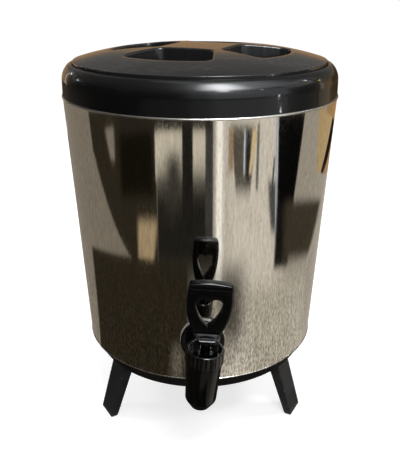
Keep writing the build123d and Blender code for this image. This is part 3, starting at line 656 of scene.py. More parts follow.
# %% Lid
POCKET_AZIMUTH = -24.5
SEAT_FIT = 0.3
LIP_ROUND = 0.8
PLUG_GAP = 4.3
PLUG_DEPTH = 25.5
PAN_PLATE = 2.5


def about_z(points, degrees):
    """Points turned about Z."""
    c, s = cos(radians(degrees)), sin(radians(degrees))
    return points @ np.array([[c, s, 0], [-s, c, 0], [0, 0, 1]])


lid_seat_z = ledge_z + SEAT_FIT
plug = mouth - PLUG_GAP
pan_z = lid_seat_z - PLUG_DEPTH
first = POCKET_AZIMUTH - 90
quarters = [about_z(skin, first + 360 * i / POCKETS) for i in range(POCKETS)]
skirt_profile = rounded([
    (lid_radius - LID_LIP, dome(lid_radius - LID_LIP)),
    (lid_radius, dome(lid_radius) + TOUCH, LIP_ROUND),
    (lid_radius, lid_seat_z),
    (plug, lid_seat_z),
    (plug, pan_z + PAN_PLATE),
    (0, pan_z + PAN_PLATE),
], closed=False)
skirt = about_z(turned(skirt_profile, POCKETS * (RIM_POINTS - 1)), first + 180 / POCKETS)
make_piece("lid", [*quarters, skirt], "lid", lid_satin, "lid_cover")

# %% [markdown]
# ## The base
# The base is a shallow tray that closes the vessel from below. A ring stands out under its edge, and the
# middle is set back. All of it is round, so one turned profile does.

# %% Base
BASE_TUCK = 8.3
BASE_FACE = 0.3
BASE_ROUND = 0.5
BASE_RIM = 1.5
RIM_WIDE = 4.0
PANEL = 44.0
PANEL_DEPTH = 1.5
base_edge = span("base_cover")[1][0] - BASE_TUCK
base_profile = rounded([
    (0, base_z + PANEL_DEPTH),
    (PANEL, base_z + PANEL_DEPTH, BASE_ROUND),
    (PANEL, base_z, BASE_ROUND),
    (base_edge - RIM_WIDE, base_z, BASE_ROUND),
    (base_edge - RIM_WIDE, base_z - BASE_RIM, BASE_ROUND),
    (base_edge - BASE_RIM / 2, base_z - BASE_RIM, EDGE),
    (shell_foot - BASE_FACE, shell_z - TOUCH),
    (shell_foot - FOOT_LIP, shell_z - TOUCH),
    (0, shell_z - TOUCH),
], closed=False)
make_piece("base", [turned(base_profile, ROUND_STEPS)], "vessel", base_satin, "base_cover")

# %% [markdown]
# ## The legs
# Each leg is a flat post that leans outward and thins towards the foot, with a plate that is screwed to the
# base. A scaled cube with a bevel would come close, but the toe is rounded on the outside only. So the post
# is a loft: a row of rounded rectangles joined from the sole to the base.

# %% Legs
LEGS = {"leg_left": -60.0, "leg_right": 60.0, "leg_rear": 180.0}
LEG_WIDTH = {"foot": 24.5, "top": 27.0}
LEG_DEPTH = {"foot": 8.5, "top": 13.5}
LEG_SPLAY = 22.0
LEG_EDGE = 0.8
TOE = 2.0
TOE_TURN = np.linspace(0, pi / 2, 5)
POST_RISES = np.linspace(0.08, 1, 10)
PLATE_REACH = 28.0
PLATE_THICK = 5.0
PLATE_EASE = 0.5
leg_foot = span("leg_rear")[1][1]
leg_top = leg_foot - LEG_SPLAY


def loft(*sections):
    """Closed outlines of equal length, joined in order, with each end drawn together to its middle."""
    first, last = sections[0].mean(0), sections[-1].mean(0)
    caps = [np.broadcast_to(middle, sections[0].shape) for middle in (first, last)]
    return np.stack([caps[0], *sections, caps[1]])


def block(x_low, x_high, width, radius, height):
    """A rounded rectangle lying at a height, as a closed outline."""
    half = width / 2
    corners = [(x_low, -half), (x_high, -half), (x_high, half), (x_low, half)]
    flat = rounded([(*corner, radius) for corner in corners], arc_steps=4, run=4)
    return np.concatenate([flat, np.full((len(flat), 1), height)], 1)


def post_section(rise, trim):
    """Section of the leg at a share of its height, with the outer face trimmed back at the toe. Place,
    depth and width change evenly from foot to top."""
    outer = leg_foot - LEG_SPLAY * rise
    depth = LEG_DEPTH["foot"] + (LEG_DEPTH["top"] - LEG_DEPTH["foot"]) * rise
    width = LEG_WIDTH["foot"] + (LEG_WIDTH["top"] - LEG_WIDTH["foot"]) * rise
    side = min(trim, EDGE) / 2
    return block(outer - depth + side, outer - trim, width - 2 * side, LEG_EDGE, rise * base_z)


toe_rows = [post_section(TOE * (1 - cos(a)) / base_z, TOE * (1 - sin(a))) for a in TOE_TURN]
post = loft(*toe_rows, *[post_section(rise, 0) for rise in POST_RISES])
plate_low = leg_top - LEG_DEPTH["top"] - PLATE_REACH
plate_high = leg_top - LEG_DEPTH["top"] / 2
plate_width = LEG_WIDTH["top"] - 2 * LEG_EDGE
plate_rows = ((PLATE_EASE, PLATE_THICK), (0, PLATE_THICK - PLATE_EASE), (0, 0))
plate = loft(*[block(plate_low + trim, plate_high, plate_width - 2 * trim, LEG_EDGE, base_z - drop)
               for trim, drop in plate_rows])
for name, azimuth in LEGS.items():
    make_piece(name.replace("leg_", "post_"), [about_z(post, azimuth - 90), about_z(plate, azimuth - 90)],
               "vessel", leg_matt, name)

# %% [markdown]
# ## The tap's own axes
# The tap leans a little on the vessel. Slanting each of its points by hand would be hard to follow, so its
# pieces are worked out upright, with x across, y towards the vessel and z along the stem. They are then
# carried to the frame by the axes of the tap's two joints.

# %% Tap axes
PIN_HEIGHT = 18.65
TAP_STEPS = 96
joints = {joint["name"]: joint for joint in frame["joints"]}
tap_x = np.array(joints["lever_tilt"]["axis"])
tap_z = np.array(joints["stem_lift"]["axis"])
tap_axes = np.stack([tap_x, np.cross(tap_z, tap_x), tap_z])
tap_origin = np.array(joints["lever_tilt"]["pos_m"]) / MM - PIN_HEIGHT * tap_z


def on_tap(points):
    """Carries points from the tap's own axes to the frame: origin plus x, y and z times the three axes."""
    return tap_origin + points @ tap_axes


def shank(profile, steps=TAP_STEPS):
    """A profile of (radius, distance towards the vessel) carried round the shank."""
    return turned(profile, steps)[..., [0, 2, 1]]


print("tap origin", tap_origin.round(2))

# %% [markdown]
# ## The spout
# The spout is a slightly tapered cup that ends in a short cone. The outlet's bore goes up into it, and the
# narrower chamber on top takes the cap nut. It is round about the stem, so one profile gives the outside
# and the bore together, and no hole has to be cut.

# %% Spout
SPOUT_DROP = 42.5
SPOUT_CONE = 8.5
SPOUT_CONE_ARC = 4.0
SPOUT_TOP = 16.0
SPOUT_END = 13.9
SPOUT_SHOULDER = 5.5
SPOUT_BROW = 0.8
CHAMBER = 14.4
CHAMBER_TOP = 10.3
OUTLET = 6.0
OUTLET_LIP = 0.6
OUTLET_WALL = 2.2
OUTLET_DEPTH = 30.5
spout_profile = rounded([
    (0, OUTLET_DEPTH - SPOUT_DROP),
    (OUTLET, OUTLET_DEPTH - SPOUT_DROP),
    (OUTLET, -SPOUT_DROP, OUTLET_LIP),
    (OUTLET + OUTLET_WALL, -SPOUT_DROP, EDGE),
    (SPOUT_END, SPOUT_CONE - SPOUT_DROP, SPOUT_CONE_ARC),
    (SPOUT_TOP, SPOUT_SHOULDER, SPOUT_BROW),
    (CHAMBER, SPOUT_SHOULDER),
    (CHAMBER, CHAMBER_TOP),
    (0, CHAMBER_TOP),
], closed=False)
spout = turned(spout_profile, TAP_STEPS)
print("spout", np.ptp(spout_profile, axis=0).round(1), "mm in radius and height")

# %% [markdown]
# ## Neck, flange and washer
# A round neck joins the spout to a disc that bears on the vessel, with a pale washer behind it. A plain
# tube would meet the disc in a hard corner. Here a smooth step widens the neck on its way and lifts it to
# the middle of the disc, so the moulding flows as it does on the real tap.

# %% Neck, flange and washer
REACH = 44.6
WASHER = 3.0
WASHER_RADIUS = 21.0
WASHER_ROUND = 0.6
FLANGE = 4.0
FLANGE_RADIUS = 20.7
FLANGE_ROUND = 1.2
SHANK = 11.0
NECK_RADIUS = 7.5
NECK_DROP = 4.5
NECK_LENGTH = 20.0
NECK_SINK = 1.0
NECK_ROWS = 14
NECK_STEPS = 48


def eased(share):
    """Smooth step from 0 to 1: three times the share squared, less twice its cube."""
    return share ** 2 * (3 - 2 * share)


flange_front = REACH - WASHER - FLANGE
flange_back = flange_front + FLANGE
shank_end = span("tap_body")[1][1] - tap_origin[1]
neck_run = np.linspace(0, flange_front, NECK_ROWS)
neck_widening = eased(np.clip((neck_run - NECK_LENGTH) / (flange_front - NECK_LENGTH), 0, 1))[:, None]
neck_radius = NECK_RADIUS + (SHANK - NECK_RADIUS) * neck_widening
neck_angle = np.linspace(0, 2 * pi, NECK_STEPS, endpoint=False)
neck = np.stack([
    neck_radius * np.cos(neck_angle),
    np.linspace(0, flange_front + NECK_SINK, NECK_ROWS)[:, None] + 0 * neck_angle,
    neck_radius * np.sin(neck_angle) - NECK_DROP * (1 - neck_widening),
], -1)
flange_profile = rounded([
    (0, flange_front),
    (FLANGE_RADIUS, flange_front, FLANGE_ROUND),
    (FLANGE_RADIUS, flange_back),
    (SHANK, flange_back),
    (SHANK, shank_end, EDGE),
    (0, shank_end),
], closed=False)
tap_grids = [spout, loft(*neck), shank(flange_profile)]
make_piece("spout", [on_tap(grid) for grid in tap_grids], "vessel", tap_gloss, "tap_body")
washer_profile = rounded([
    (SHANK, REACH - WASHER),
    (WASHER_RADIUS, REACH - WASHER, WASHER_ROUND),
    (WASHER_RADIUS, REACH + WASHER),
    (SHANK, REACH + WASHER),
])
washer = shank(washer_profile)
make_piece("washer", [on_tap(washer)], "vessel", silicone, "tap_outer_washer", rings=1)

# %% [markdown]
# ## The cap nut
# The cap nut is a ribbed cup in which the lever's heel moves. Its ribs run up to the rounded rim. They
# could be copies of one rib set round a ring, but a wave that comes off the radius and fades just below
# the rim leaves ribs and cup one closed surface.

# %% Cap nut
CAP_RADIUS = 17.0
CAP_TOP = 17.5
CAP_GAP = 0.1
CAP_WALL = 3.0
CAP_HEEL = 0.4
CAP_BAND = 0.5
CUP_FLOOR = 12.85
CUP_PLATE = 2.5
CUP_ROUND = 0.5
RIBS = 24
RIB_STEPS = 16
RIB_DEPTH = 0.7
RIB_ZONE = 0.6
RIB_FADE = 0.4
RIB_POWER = 8
STEM_RADIUS = 4.3
STEM_PLAY = 0.1


def grooves(count, depth, power, shown):
    """A wave of narrow grooves: depth times a raised cosine to a high power, on the profile points where
    shown is 1."""
    def wave(angle):
        """What comes off the radius of each profile point, at given angles."""
        return depth * shown[:, None] * (0.5 + 0.5 * np.cos(count * angle)) ** power
    return wave


cap_low = SPOUT_SHOULDER + CAP_GAP
cup = CAP_RADIUS - CAP_WALL
cap_profile = rounded([
    (CHAMBER + TOUCH, cap_low),
    (CAP_RADIUS, cap_low, CAP_HEEL),
    (CAP_RADIUS, CAP_TOP, EDGE),
    (cup, CAP_TOP, EDGE),
    (cup, CUP_FLOOR, CUP_ROUND),
    (STEM_RADIUS + STEM_PLAY, CUP_FLOOR),
    (STEM_RADIUS + STEM_PLAY, CUP_FLOOR - CUP_PLATE),
    (CHAMBER + TOUCH, CUP_FLOOR - CUP_PLATE),
], run=10)
below_band = np.clip((CAP_TOP - CAP_BAND - cap_profile[:, 1]) / RIB_FADE, 0, 1)
outer_side = cap_profile[:, 0] > CAP_RADIUS - RIB_ZONE
cap_ribs = grooves(RIBS, RIB_DEPTH, RIB_POWER, below_band * outer_side)
cap_nut = turned(cap_profile, RIBS * RIB_STEPS, cap_ribs)
make_piece("cap_nut", [on_tap(cap_nut)], "vessel", cap_gloss, "tap_bonnet", rings=1)

# %% [markdown]
# ## The stem
# The stem is the post that the lever lifts to open the tap: a grooved head above the cup's floor and a thin
# rod below it. It moves with the valve, so it is a piece of its own, made like the cap nut.

# %% Stem
STEM_HEAD = 5.0
STEM_TOP = PIN_HEIGHT + STEM_HEAD
ROD_RADIUS = 2.2
ROD_LOW = -9.0
GROOVES = 8
GROOVE_DEPTH = 0.4
GROOVE_POWER = 6
stem_profile = rounded([
    (0, ROD_LOW),
    (ROD_RADIUS, ROD_LOW),
    (ROD_RADIUS, SPOUT_SHOULDER),
    (STEM_RADIUS, SPOUT_SHOULDER),
    (STEM_RADIUS, STEM_TOP, EDGE),
    (0, STEM_TOP),
], closed=False)
grooved = (stem_profile[:, 0] > ROD_RADIUS + EDGE) & (stem_profile[:, 1] > CUP_FLOOR)
stem = turned(stem_profile, TAP_STEPS, grooves(GROOVES, GROOVE_DEPTH, GROOVE_POWER, grooved))
make_piece("stem", [on_tap(stem)], "valve", tap_gloss, "valve_stem")

# %% [markdown]
# ## The heart
# The lever's grip has a heart-shaped hole. It could be drawn as a Bezier curve, but arcs through a few
# measured points can be checked against the drawing. Only one half is worked out, and its mirror image
# closes it.

# %% Outline of the heart
HEART_TIP = 7.0
HEART_SIDE = (7.6, 8.8)
HEART_WIDE = (11.7, 20.0)
HEART_LOBE = (6.2, 26.0)
HEART_CUSP = (0.0, 22.8)


def arc_through(first, second, third, steps=24):
    """Points on the circle arc from the first to the third point, through the second. The centre is where
    the bisectors of the points' distances meet."""
    (ax, ay), (bx, by), (cx, cy) = first, second, third
    twice = 2 * (ax * (by - cy) + bx * (cy - ay) + cx * (ay - by))
    squares = [x * x + y * y for x, y in (first, second, third)]
    ux = (squares[0] * (by - cy) + squares[1] * (cy - ay) + squares[2] * (ay - by)) / twice
    uy = (squares[0] * (cx - bx) + squares[1] * (ax - cx) + squares[2] * (bx - ax)) / twice
    start, via, end = [np.arctan2(y - uy, x - ux) for x, y in (first, second, third)]
    turn = (end - start) % (2 * pi)
    if (via - start) % (2 * pi) > turn:
        turn -= 2 * pi
    angle = start + turn * np.linspace(0, 1, steps)
    radius = np.hypot(ax - ux, ay - uy)
    return np.stack([ux + radius * np.cos(angle), uy + radius * np.sin(angle)], 1)


def both_sides(half):
    """A half outline on +x, given upwards, closed by its mirror image."""
    return np.concatenate([half, half[::-1] * np.array([-1, 1])])


def heart_outline():
    """Two arcs on each side: from the tip over the side to the widest point, and from there over the lobe
    to the cusp."""
    side = arc_through((0, 0), HEART_SIDE, HEART_WIDE)
    lobe = arc_through(HEART_WIDE, HEART_LOBE, HEART_CUSP)
    return both_sides(np.concatenate([side, lobe[1:]])) + np.array([0, HEART_TIP])


print("heart", np.ptp(heart_outline(), axis=0).round(1), "mm")

# %% [markdown]
# ## The shield
# The grip itself is a shield: narrow at the foot, widest in the upper half, with a low arch on top. Its
# flanks bend all the way, so they are a cubic through four measured widths and not a chain of arcs.

# %% Outline of the shield
PLATE_TALL = 47.0
PLATE_WIDTHS = {0.0: 23.4, 14.0: 35.0, 32.0: 39.5, PLATE_TALL: 36.6}
PLATE_ARCH = 1.8
PLATE_CORNER = 1.6
SOLE_POINTS = 8
FLANK_POINTS = 20
FLANK_END = 4.0
ARCH_POINTS = 21
ARCH_HALF = slice(3, 11)


def plate_outline():
    """Half widths on a cubic through four heights, a rounded top corner and a low arch."""
    heights = np.array(list(PLATE_WIDTHS))
    half_widths = np.array(list(PLATE_WIDTHS.values())) / 2
    half_top = half_widths[-1]
    flank = np.linspace(0, PLATE_TALL - FLANK_END, FLANK_POINTS)
    flank_x = np.polyval(np.polyfit(heights, half_widths, 3), flank)
    arch_top = (0, PLATE_TALL + PLATE_ARCH)
    arch = arc_through((half_top, PLATE_TALL), arch_top, (-half_top, PLATE_TALL), ARCH_POINTS)
    corners = [(x, 0) for x in np.linspace(0, half_widths[0], SOLE_POINTS)[:-1]]
    corners += list(zip(flank_x, flank))
    corners += [(half_top, PLATE_TALL, PLATE_CORNER), *map(tuple, arch[ARCH_HALF])]
    return both_sides(rounded(corners, closed=False, run=2))


print("shield", np.ptp(plate_outline(), axis=0).round(1), "mm")

# %% [markdown]
# ## The grip plate
# A Boolean would cut the heart out, but leave sharp edges and uneven faces. Seen along a ray from the
# middle of the heart, the plate is a closed loop: out along the front, round the edge, back along the
# rear and through the hole. Carried once round the heart, that loop is a ring-shaped grid with every edge
# rounded. At the top the front swells into a lip for the finger.

# %% Grip plate
LEDGE_HEIGHT = PIN_HEIGHT + 8.5
LEDGE_BACK = 6.5
PLATE_BOTTOM = LEDGE_HEIGHT + LEDGE_BACK
PLATE_DEEP = 7.0
PLATE_EDGE = 1.2
PLATE_LIP = 2.0
PLATE_LIP_RUN = 5.0
FACE_ROWS = (0.4, 0.55, 0.7, 0.85)
EDGE_BEND = np.linspace(0, pi / 2, 5)
HEART_EDGE = 0.7
HEART_MIDDLE = 14.0
half_deep = PLATE_DEEP / 2


def grip_plate(count=240):
    """Rows of the loop through the plate, for rays all round the heart's middle. Each edge is a quarter
    circle, and the lip is a smooth step of the height, taken off the front's depth."""
    angle = np.linspace(-pi / 2, 3 * pi / 2, count, endpoint=False)
    middle = np.array([0, HEART_TIP + HEART_MIDDLE])
    hole = polar(heart_outline(), middle, angle)
    edge = polar(plate_outline(), middle, angle)
    inner, outer = hole + HEART_EDGE, edge - PLATE_EDGE
    bend = EDGE_BEND
    rows = [(hole + HEART_EDGE * (1 - cos(a)), HEART_EDGE * (1 - sin(a)) - half_deep) for a in bend]
    rows += [(inner + (outer - inner) * share, -half_deep) for share in FACE_ROWS]
    rows += [(edge - PLATE_EDGE * (1 - sin(a)), PLATE_EDGE * (1 - cos(a)) - half_deep) for a in bend]
    rows += [(edge, 0.0)]
    rows += [(edge - PLATE_EDGE * (1 - cos(a)), half_deep - PLATE_EDGE * (1 - sin(a))) for a in bend]
    rows += [((hole + edge) / 2, half_deep)]
    rows += [(hole + HEART_EDGE * (1 - sin(a)), half_deep - HEART_EDGE * (1 - cos(a))) for a in bend]
    radius = np.stack([distance for distance, _ in rows])
    depth = np.stack([np.full_like(angle, y) for _, y in rows])
    x, z = radius * np.cos(angle), middle[1] + radius * np.sin(angle)
    rise = np.clip((z - PLATE_TALL) / PLATE_LIP_RUN + 1, 0, 1)
    depth -= PLATE_LIP * eased(rise) * (depth < 0)
    return np.stack([x, depth, z + PLATE_BOTTOM], -1)


grip = grip_plate()
print("rows and columns of the grip", grip.shape[:2])

# %% [markdown]
# ## The lever's foot
# Below the plate a block leads down to the fork, and a ledge that narrows forward stiffens it. Both are
# lofts of upright rounded rectangles. Where the rectangles shrink a little at the ends, the edges look
# eased, as a mould leaves them.

# %% Foot and ledge
LEDGE_FRONT = 3.5
LEDGE_FRONT_WIDTH = 14.7
LEDGE_FORWARD = 7.0
LEDGE_ROWS = ((0.0, 0.0), (0.45, 0.0), (0.9, 0.0), (1.0, 0.6))
FOOT_CORNER = 0.6
FOOT_EASE = 0.5
FOOT_SINK = 1.5
foot_width = PLATE_WIDTHS[0.0]


def upright(width, low, high, y):
    """A rounded rectangle facing the front at a depth."""
    flat = block(-width / 2, width / 2, high - low, FOOT_CORNER, 0)
    return np.stack([flat[:, 0], np.full(len(flat), y), flat[:, 1] + (low + high) / 2], -1)


def ledge_section(share, trim):
    """Section of the ledge at a share of its way forward; width and height change evenly."""
    width = foot_width + (LEDGE_FRONT_WIDTH - foot_width) * share
    height = LEDGE_BACK + (LEDGE_FRONT - LEDGE_BACK) * share
    return upright(width - 2 * trim, LEDGE_HEIGHT + trim / 2, LEDGE_HEIGHT + height - trim / 2,
                   -half_deep - LEDGE_FORWARD * share)


eased_deep = half_deep - FOOT_EASE
foot_rows = ((FOOT_EASE, -half_deep), (0, -eased_deep), (0, eased_deep), (FOOT_EASE, half_deep))
foot_block = loft(*[upright(foot_width - 2 * trim, LEDGE_HEIGHT + trim, PLATE_BOTTOM + FOOT_SINK, y)
                    for trim, y in foot_rows])
ledge = loft(*[ledge_section(share, trim) for share, trim in LEDGE_ROWS])
print("foot", foot_block.shape[:2], "ledge", ledge.shape[:2])

# %% [markdown]
# ## The fork
# Two cheeks straddle the stem. Their heels roll on the cup's floor as the lever tips, and lift the stem by
# the same amount for each degree. The curve that does this is the involute of a circle, so the heel is
# worked out from it and not drawn by eye.

# %% Fork
TURN = radians(35.0)
CAM_PITCH = 4.5
CAM_HEIGHT = 5.5
CHEEK_INSIDE = 6.7
CHEEK_OUTSIDE = 10.2
CHEEK_BACK = 4.5
CHEEK_EDGE = 0.5
CHEEK_BEND = 1.5
CHEEK_HEEL = 0.8
HEEL_POINTS = 12
CHEEK_ROWS = ((CHEEK_INSIDE, 0.95), (CHEEK_INSIDE + 0.3, 1.0),
              (CHEEK_OUTSIDE - 0.4, 1.0), (CHEEK_OUTSIDE, 0.93))


def cheek_outline():
    """Side view of the fork. The heel is the involute of a circle, whose arm grows by the pitch for each
    radian of turn, and the rest is straight lines."""
    turn = np.linspace(0, TURN, HEEL_POINTS)
    arm = CAM_HEIGHT + CAM_PITCH * turn
    heel = np.stack([-arm * np.sin(turn) - CAM_PITCH * np.cos(turn),
                     PIN_HEIGHT - arm * np.cos(turn) + CAM_PITCH * np.sin(turn)], 1)
    front = heel[-1, 0]
    return rounded([
        *map(tuple, heel),
        (front, LEDGE_HEIGHT + LEDGE_FRONT, CHEEK_EDGE),
        (half_deep, PLATE_BOTTOM, CHEEK_EDGE),
        (CHEEK_BACK, PIN_HEIGHT, CHEEK_BEND),
        (CHEEK_BACK, PIN_HEIGHT - CAM_HEIGHT, CHEEK_HEEL),
    ], run=3)


def cheek(side):
    """The fork's side view carried across its thickness; it shrinks to its middle at both faces."""
    flat = cheek_outline()
    middle = flat.mean(0)
    return loft(*[np.concatenate([np.full((len(flat), 1), side * x), middle + (flat - middle) * size], 1)
                  for x, size in CHEEK_ROWS])


cheeks = [cheek(side) for side in (-1, 1)]
print("each cheek", cheeks[0].shape[:2])

# %% [markdown]
# ## Lever and pin
# Bosses inside the cheeks keep them clear of the stem, and two small raised rings mark the front of the
# plate. With plate, foot and fork they move as one piece, so all their grids go into one mesh. The steel
# pin through the cheeks is the hinge, and a piece of its own.

# %% Lever and pin
BOSS_RADIUS = 3.2
BOSS_GAP = 0.3
BOSS_SINK = 0.5
MARK_RADIUS = 1.3
MARK_PLACE = (16.0, 37.0)
MARK_SECTION = np.array([(-0.4, 0.2), (-0.2, -0.1), (0.2, -0.1), (0.4, 0.2)])
MARK_STEPS = 32
PIN_RADIUS = 1.5
PIN_ROUND = 0.5
PIN_STEPS = 48


def across(profile):
    """A profile of (radius, distance across) carried round the lever's pin."""
    return turned(profile, PIN_STEPS)[..., [2, 0, 1]] + np.array([0, 0, PIN_HEIGHT])


boss_start, boss_end = STEM_RADIUS + BOSS_GAP, CHEEK_INSIDE + BOSS_SINK
boss_profile = np.array([(0, boss_start), (BOSS_RADIUS, boss_start),
                         (BOSS_RADIUS, boss_end), (0, boss_end)])
mark_ring = shank(MARK_SECTION + np.array([MARK_RADIUS, 0]), MARK_STEPS)
lever_grids = [grip, foot_block, ledge, *cheeks]
lever_grids += [across(boss_profile * np.array([1, side])) for side in (-1, 1)]
lever_grids += [mark_ring + np.array([side * MARK_PLACE[0], -half_deep, PLATE_BOTTOM + MARK_PLACE[1]])
                for side in (-1, 1)]
lever = [on_tap(grid) for grid in lever_grids]
make_piece("lever_grip", lever, "lever", tap_gloss, "lever", rings=1)
pin_profile = rounded([
    (0, -CHEEK_OUTSIDE),
    (PIN_RADIUS, -CHEEK_OUTSIDE, PIN_ROUND),
    (PIN_RADIUS, CHEEK_OUTSIDE, PIN_ROUND),
    (0, CHEEK_OUTSIDE),
], closed=False)
make_piece("pin", [on_tap(across(pin_profile))], "lever", screw_steel, "lever_pin")

# %% [markdown]
# ## The liner
# Inside the jacket hangs a drawn steel vessel that holds the drink. It shows only when the lid is lifted,
# so a plain turned sheet with a bend at its floor and a flange under the collar is enough.

# %% Liner
LINER_BEND = 8.0
LINER_ZONE = 9.0
LINER_FLANGE = 7.0
LINER_GAP = 0.3
LINER_EDGE = 0.5
liner_z = span("inner_liner")[0][2]
liner_foot = reach("inner_liner", liner_z - TOUCH, liner_z + LINER_ZONE)
liner_mouth = mouth + LINER_GAP
liner_profile = rounded([
    (0, liner_z),
    (liner_foot, liner_z, LINER_BEND),
    (liner_mouth + SHEET, neck_z - SHEET),
    (liner_mouth + LINER_FLANGE, neck_z - SHEET),
    (liner_mouth + LINER_FLANGE, neck_z),
    (liner_mouth, neck_z, LINER_EDGE),
    (liner_foot - SHEET, liner_z + SHEET, LINER_BEND),
    (0, liner_z + SHEET),
], closed=False)
make_piece("liner", [turned(liner_profile)], "vessel", liner_steel, "inner_liner")

# %% [markdown]
# ## Under the lid
# A pan closes the lid's plug from below, and a silicone band with two lips seals the plug in the collar.
# Both come up with the lid and are turned like the rest. Each lip of the band thins from its root to a
# rounded edge.

# %% Pan and gasket
PAN_RIM = 11.0
PAN_WALL = 2.8
GASKET_BAND = 1.4
GASKET_TALL = 12.0
GASKET_LIP = 1.6
GASKET_GAP = 0.1
GASKET_EDGE = 0.4
GASKET_ROOT = 0.5
LIP_GAP = 0.3
pan_floor = pan_z + PAN_PLATE
pan_inside = plug - PAN_WALL
pan_profile = rounded([
    (0, pan_z),
    (plug, pan_z, EDGE),
    (plug, pan_floor),
    (pan_inside, pan_floor),
    (pan_inside, pan_floor + PAN_RIM),
    (0, pan_floor + PAN_RIM),
], closed=False)
make_piece("pan", [turned(pan_profile)], "lid", lid_satin, "lid_pan")
gasket_top = lid_seat_z - GASKET_GAP
gasket_low = gasket_top - GASKET_TALL
gasket_inside = plug + GASKET_GAP
band = gasket_inside + GASKET_BAND
lips = mouth - LIP_GAP
gasket_profile = rounded([
    (gasket_inside, gasket_low),
    (lips, gasket_low, GASKET_EDGE),
    (lips, gasket_low + GASKET_LIP, GASKET_EDGE),
    (band, gasket_low + 2 * GASKET_LIP, GASKET_ROOT),
    (band, gasket_top - 2 * GASKET_LIP, GASKET_ROOT),
    (lips, gasket_top - GASKET_LIP, GASKET_EDGE),
    (lips, gasket_top, GASKET_EDGE),
    (gasket_inside, gasket_top),
])
make_piece("gasket", [turned(gasket_profile)], "lid", silicone, "lid_gasket", rings=1)

# %% [markdown]
# ## The shank's nut
# Inside the liner a hexagonal nut clamps the tap. Blender's cylinder with six sides would do, but the
# turned ring with its wave is at hand: what comes off the circle leaves the six flats.

# %% Nut
NUT_SIDES = 6
NUT_STEPS = 12
nut_low, nut_high = span("tap_nut")
nut_radius = (nut_high[0] - nut_low[0]) / 2
nut_bore = SHANK + TOUCH
nut_front, nut_back = nut_low[1] - tap_origin[1], nut_high[1] - tap_origin[1]


def nut_flats(angle):
    """What comes off a circle to leave the flats of a hexagon: a flat lies at the radius times the cosine
    of half a side's angle, over the cosine of the angle from its middle. The bore stays round."""
    step = 2 * pi / NUT_SIDES
    flats = nut_radius * (1 - cos(step / 2) / np.cos(angle % step - step / 2))
    return np.array([[0], [1], [1], [0]]) * flats


nut_profile = np.array([(nut_bore, nut_front), (nut_radius, nut_front),
                        (nut_radius, nut_back), (nut_bore, nut_back)])
nut = turned(nut_profile, NUT_SIDES * NUT_STEPS, nut_flats)[..., [0, 2, 1]]
nut += np.array([0, tap_origin[1], tap_origin[2]])
make_piece("shank_nut", [nut], "vessel", tap_gloss, "tap_nut", rings=1)

# %% [markdown]
# ## Leg screws
# Two pan-head screws hold each leg's plate to the base. The head is a turned dome whose middle drops
# into a four-armed recess. Cutting a cross would leave slivers, so the inner rows of the grid follow the
# recess outline and its walls stay clean.

# %% Screws
SCREW_HEAD_RADIUS = 3.6
SCREW_HEAD = 2.2
SCREW_FACE = 0.05
SCREW_ROUND = 0.8
SCREW_CROWN = 1.2
SCREW_BEND = np.linspace(0.3, pi / 2, 5)
SCREW_PITCH = 12.0
SCREW_EDGE = 8.0
SCREWS_PER_LEG = 2
RECESS_ARM = 2.0
RECESS_CORE = 0.8
RECESS_DEEP = 1.1
RECESS_TAPER = 0.9
RECESS_POWER = 8


def screw_head(steps=64):
    """Dome seen from below: rows run from the middle of the recess, up its wall and over the head. The four
    arms are a cosine of twice the angle to a high power."""
    angle = np.linspace(0, 2 * pi, steps, endpoint=False)
    star = RECESS_CORE + (RECESS_ARM - RECESS_CORE) * np.cos(2 * angle) ** RECESS_POWER
    face = SCREW_HEAD_RADIUS - SCREW_ROUND
    rows = [(0, RECESS_DEEP), (star * RECESS_TAPER, RECESS_DEEP), (star, SCREW_FACE)]
    rows += [(star + (face - star) * share, SCREW_FACE * share) for share in (0.3, 1.0)]
    rows += [(face + SCREW_ROUND * sin(a), SCREW_FACE + SCREW_CROWN * (1 - cos(a))) for a in SCREW_BEND]
    rows += [(SCREW_HEAD_RADIUS, SCREW_HEAD), (0, SCREW_HEAD)]
    radius = np.stack([np.broadcast_to(distance, angle.shape) for distance, _ in rows])
    height = np.array([[rise] for _, rise in rows]) + base_z - PLATE_THICK - SCREW_HEAD + 0 * angle
    return np.stack([radius * np.cos(angle), radius * np.sin(angle), height], -1)


screw_row = [plate_low + SCREW_EDGE + i * SCREW_PITCH for i in range(SCREWS_PER_LEG)]
screws = [about_z(screw_head() + np.array([x, 0, 0]), azimuth - 90)
          for azimuth in LEGS.values() for x in screw_row]
make_piece("leg_screw_heads", screws, "vessel", screw_steel, "leg_screws")

# %% [markdown]
# ## Pieces that stay as they are
# Foam, sleeve, seal cup and inner washer are never seen whole. Building them again would add nothing, so
# their CAD meshes stay and only take a finish.

# %% Finishes for the CAD's own pieces
KEPT = {
    "foam_insulation": foam,
    "lid_foam": foam,
    "tap_sleeve": base_satin,
    "tap_inner_washer": silicone,
    "seat_cup": silicone,
}
for name, finish in KEPT.items():
    mesh = frame["nodes"][name].data
    mesh.materials.clear()
    mesh.materials.append(finish)
print("kept pieces", list(KEPT))

# %% [markdown]
# ## Floor and world
# The studio is white all round. A floor bright enough to look white would wash out the shadow, so it is
# grey to the light and glows only for the rays that show it: from the camera, in a gloss or through glass.
# The world does the same.

# %% Floor and world
FLOOR = 30.0
FLOOR_GREY = 0.5
FLOOR_GLOW = 0.7
WORLD_LIGHT = 0.6
WORLD_SEEN = 1.0


def seen(tree):
    """1 for rays that show the background: straight from the camera, in a gloss or through glass."""
    rays = add_node(tree, "ShaderNodeLightPath").outputs
    straight = maths(tree, "MAXIMUM", rays["Is Camera Ray"], rays["Is Glossy Ray"])
    return maths(tree, "MAXIMUM", straight, rays["Is Transmission Ray"])


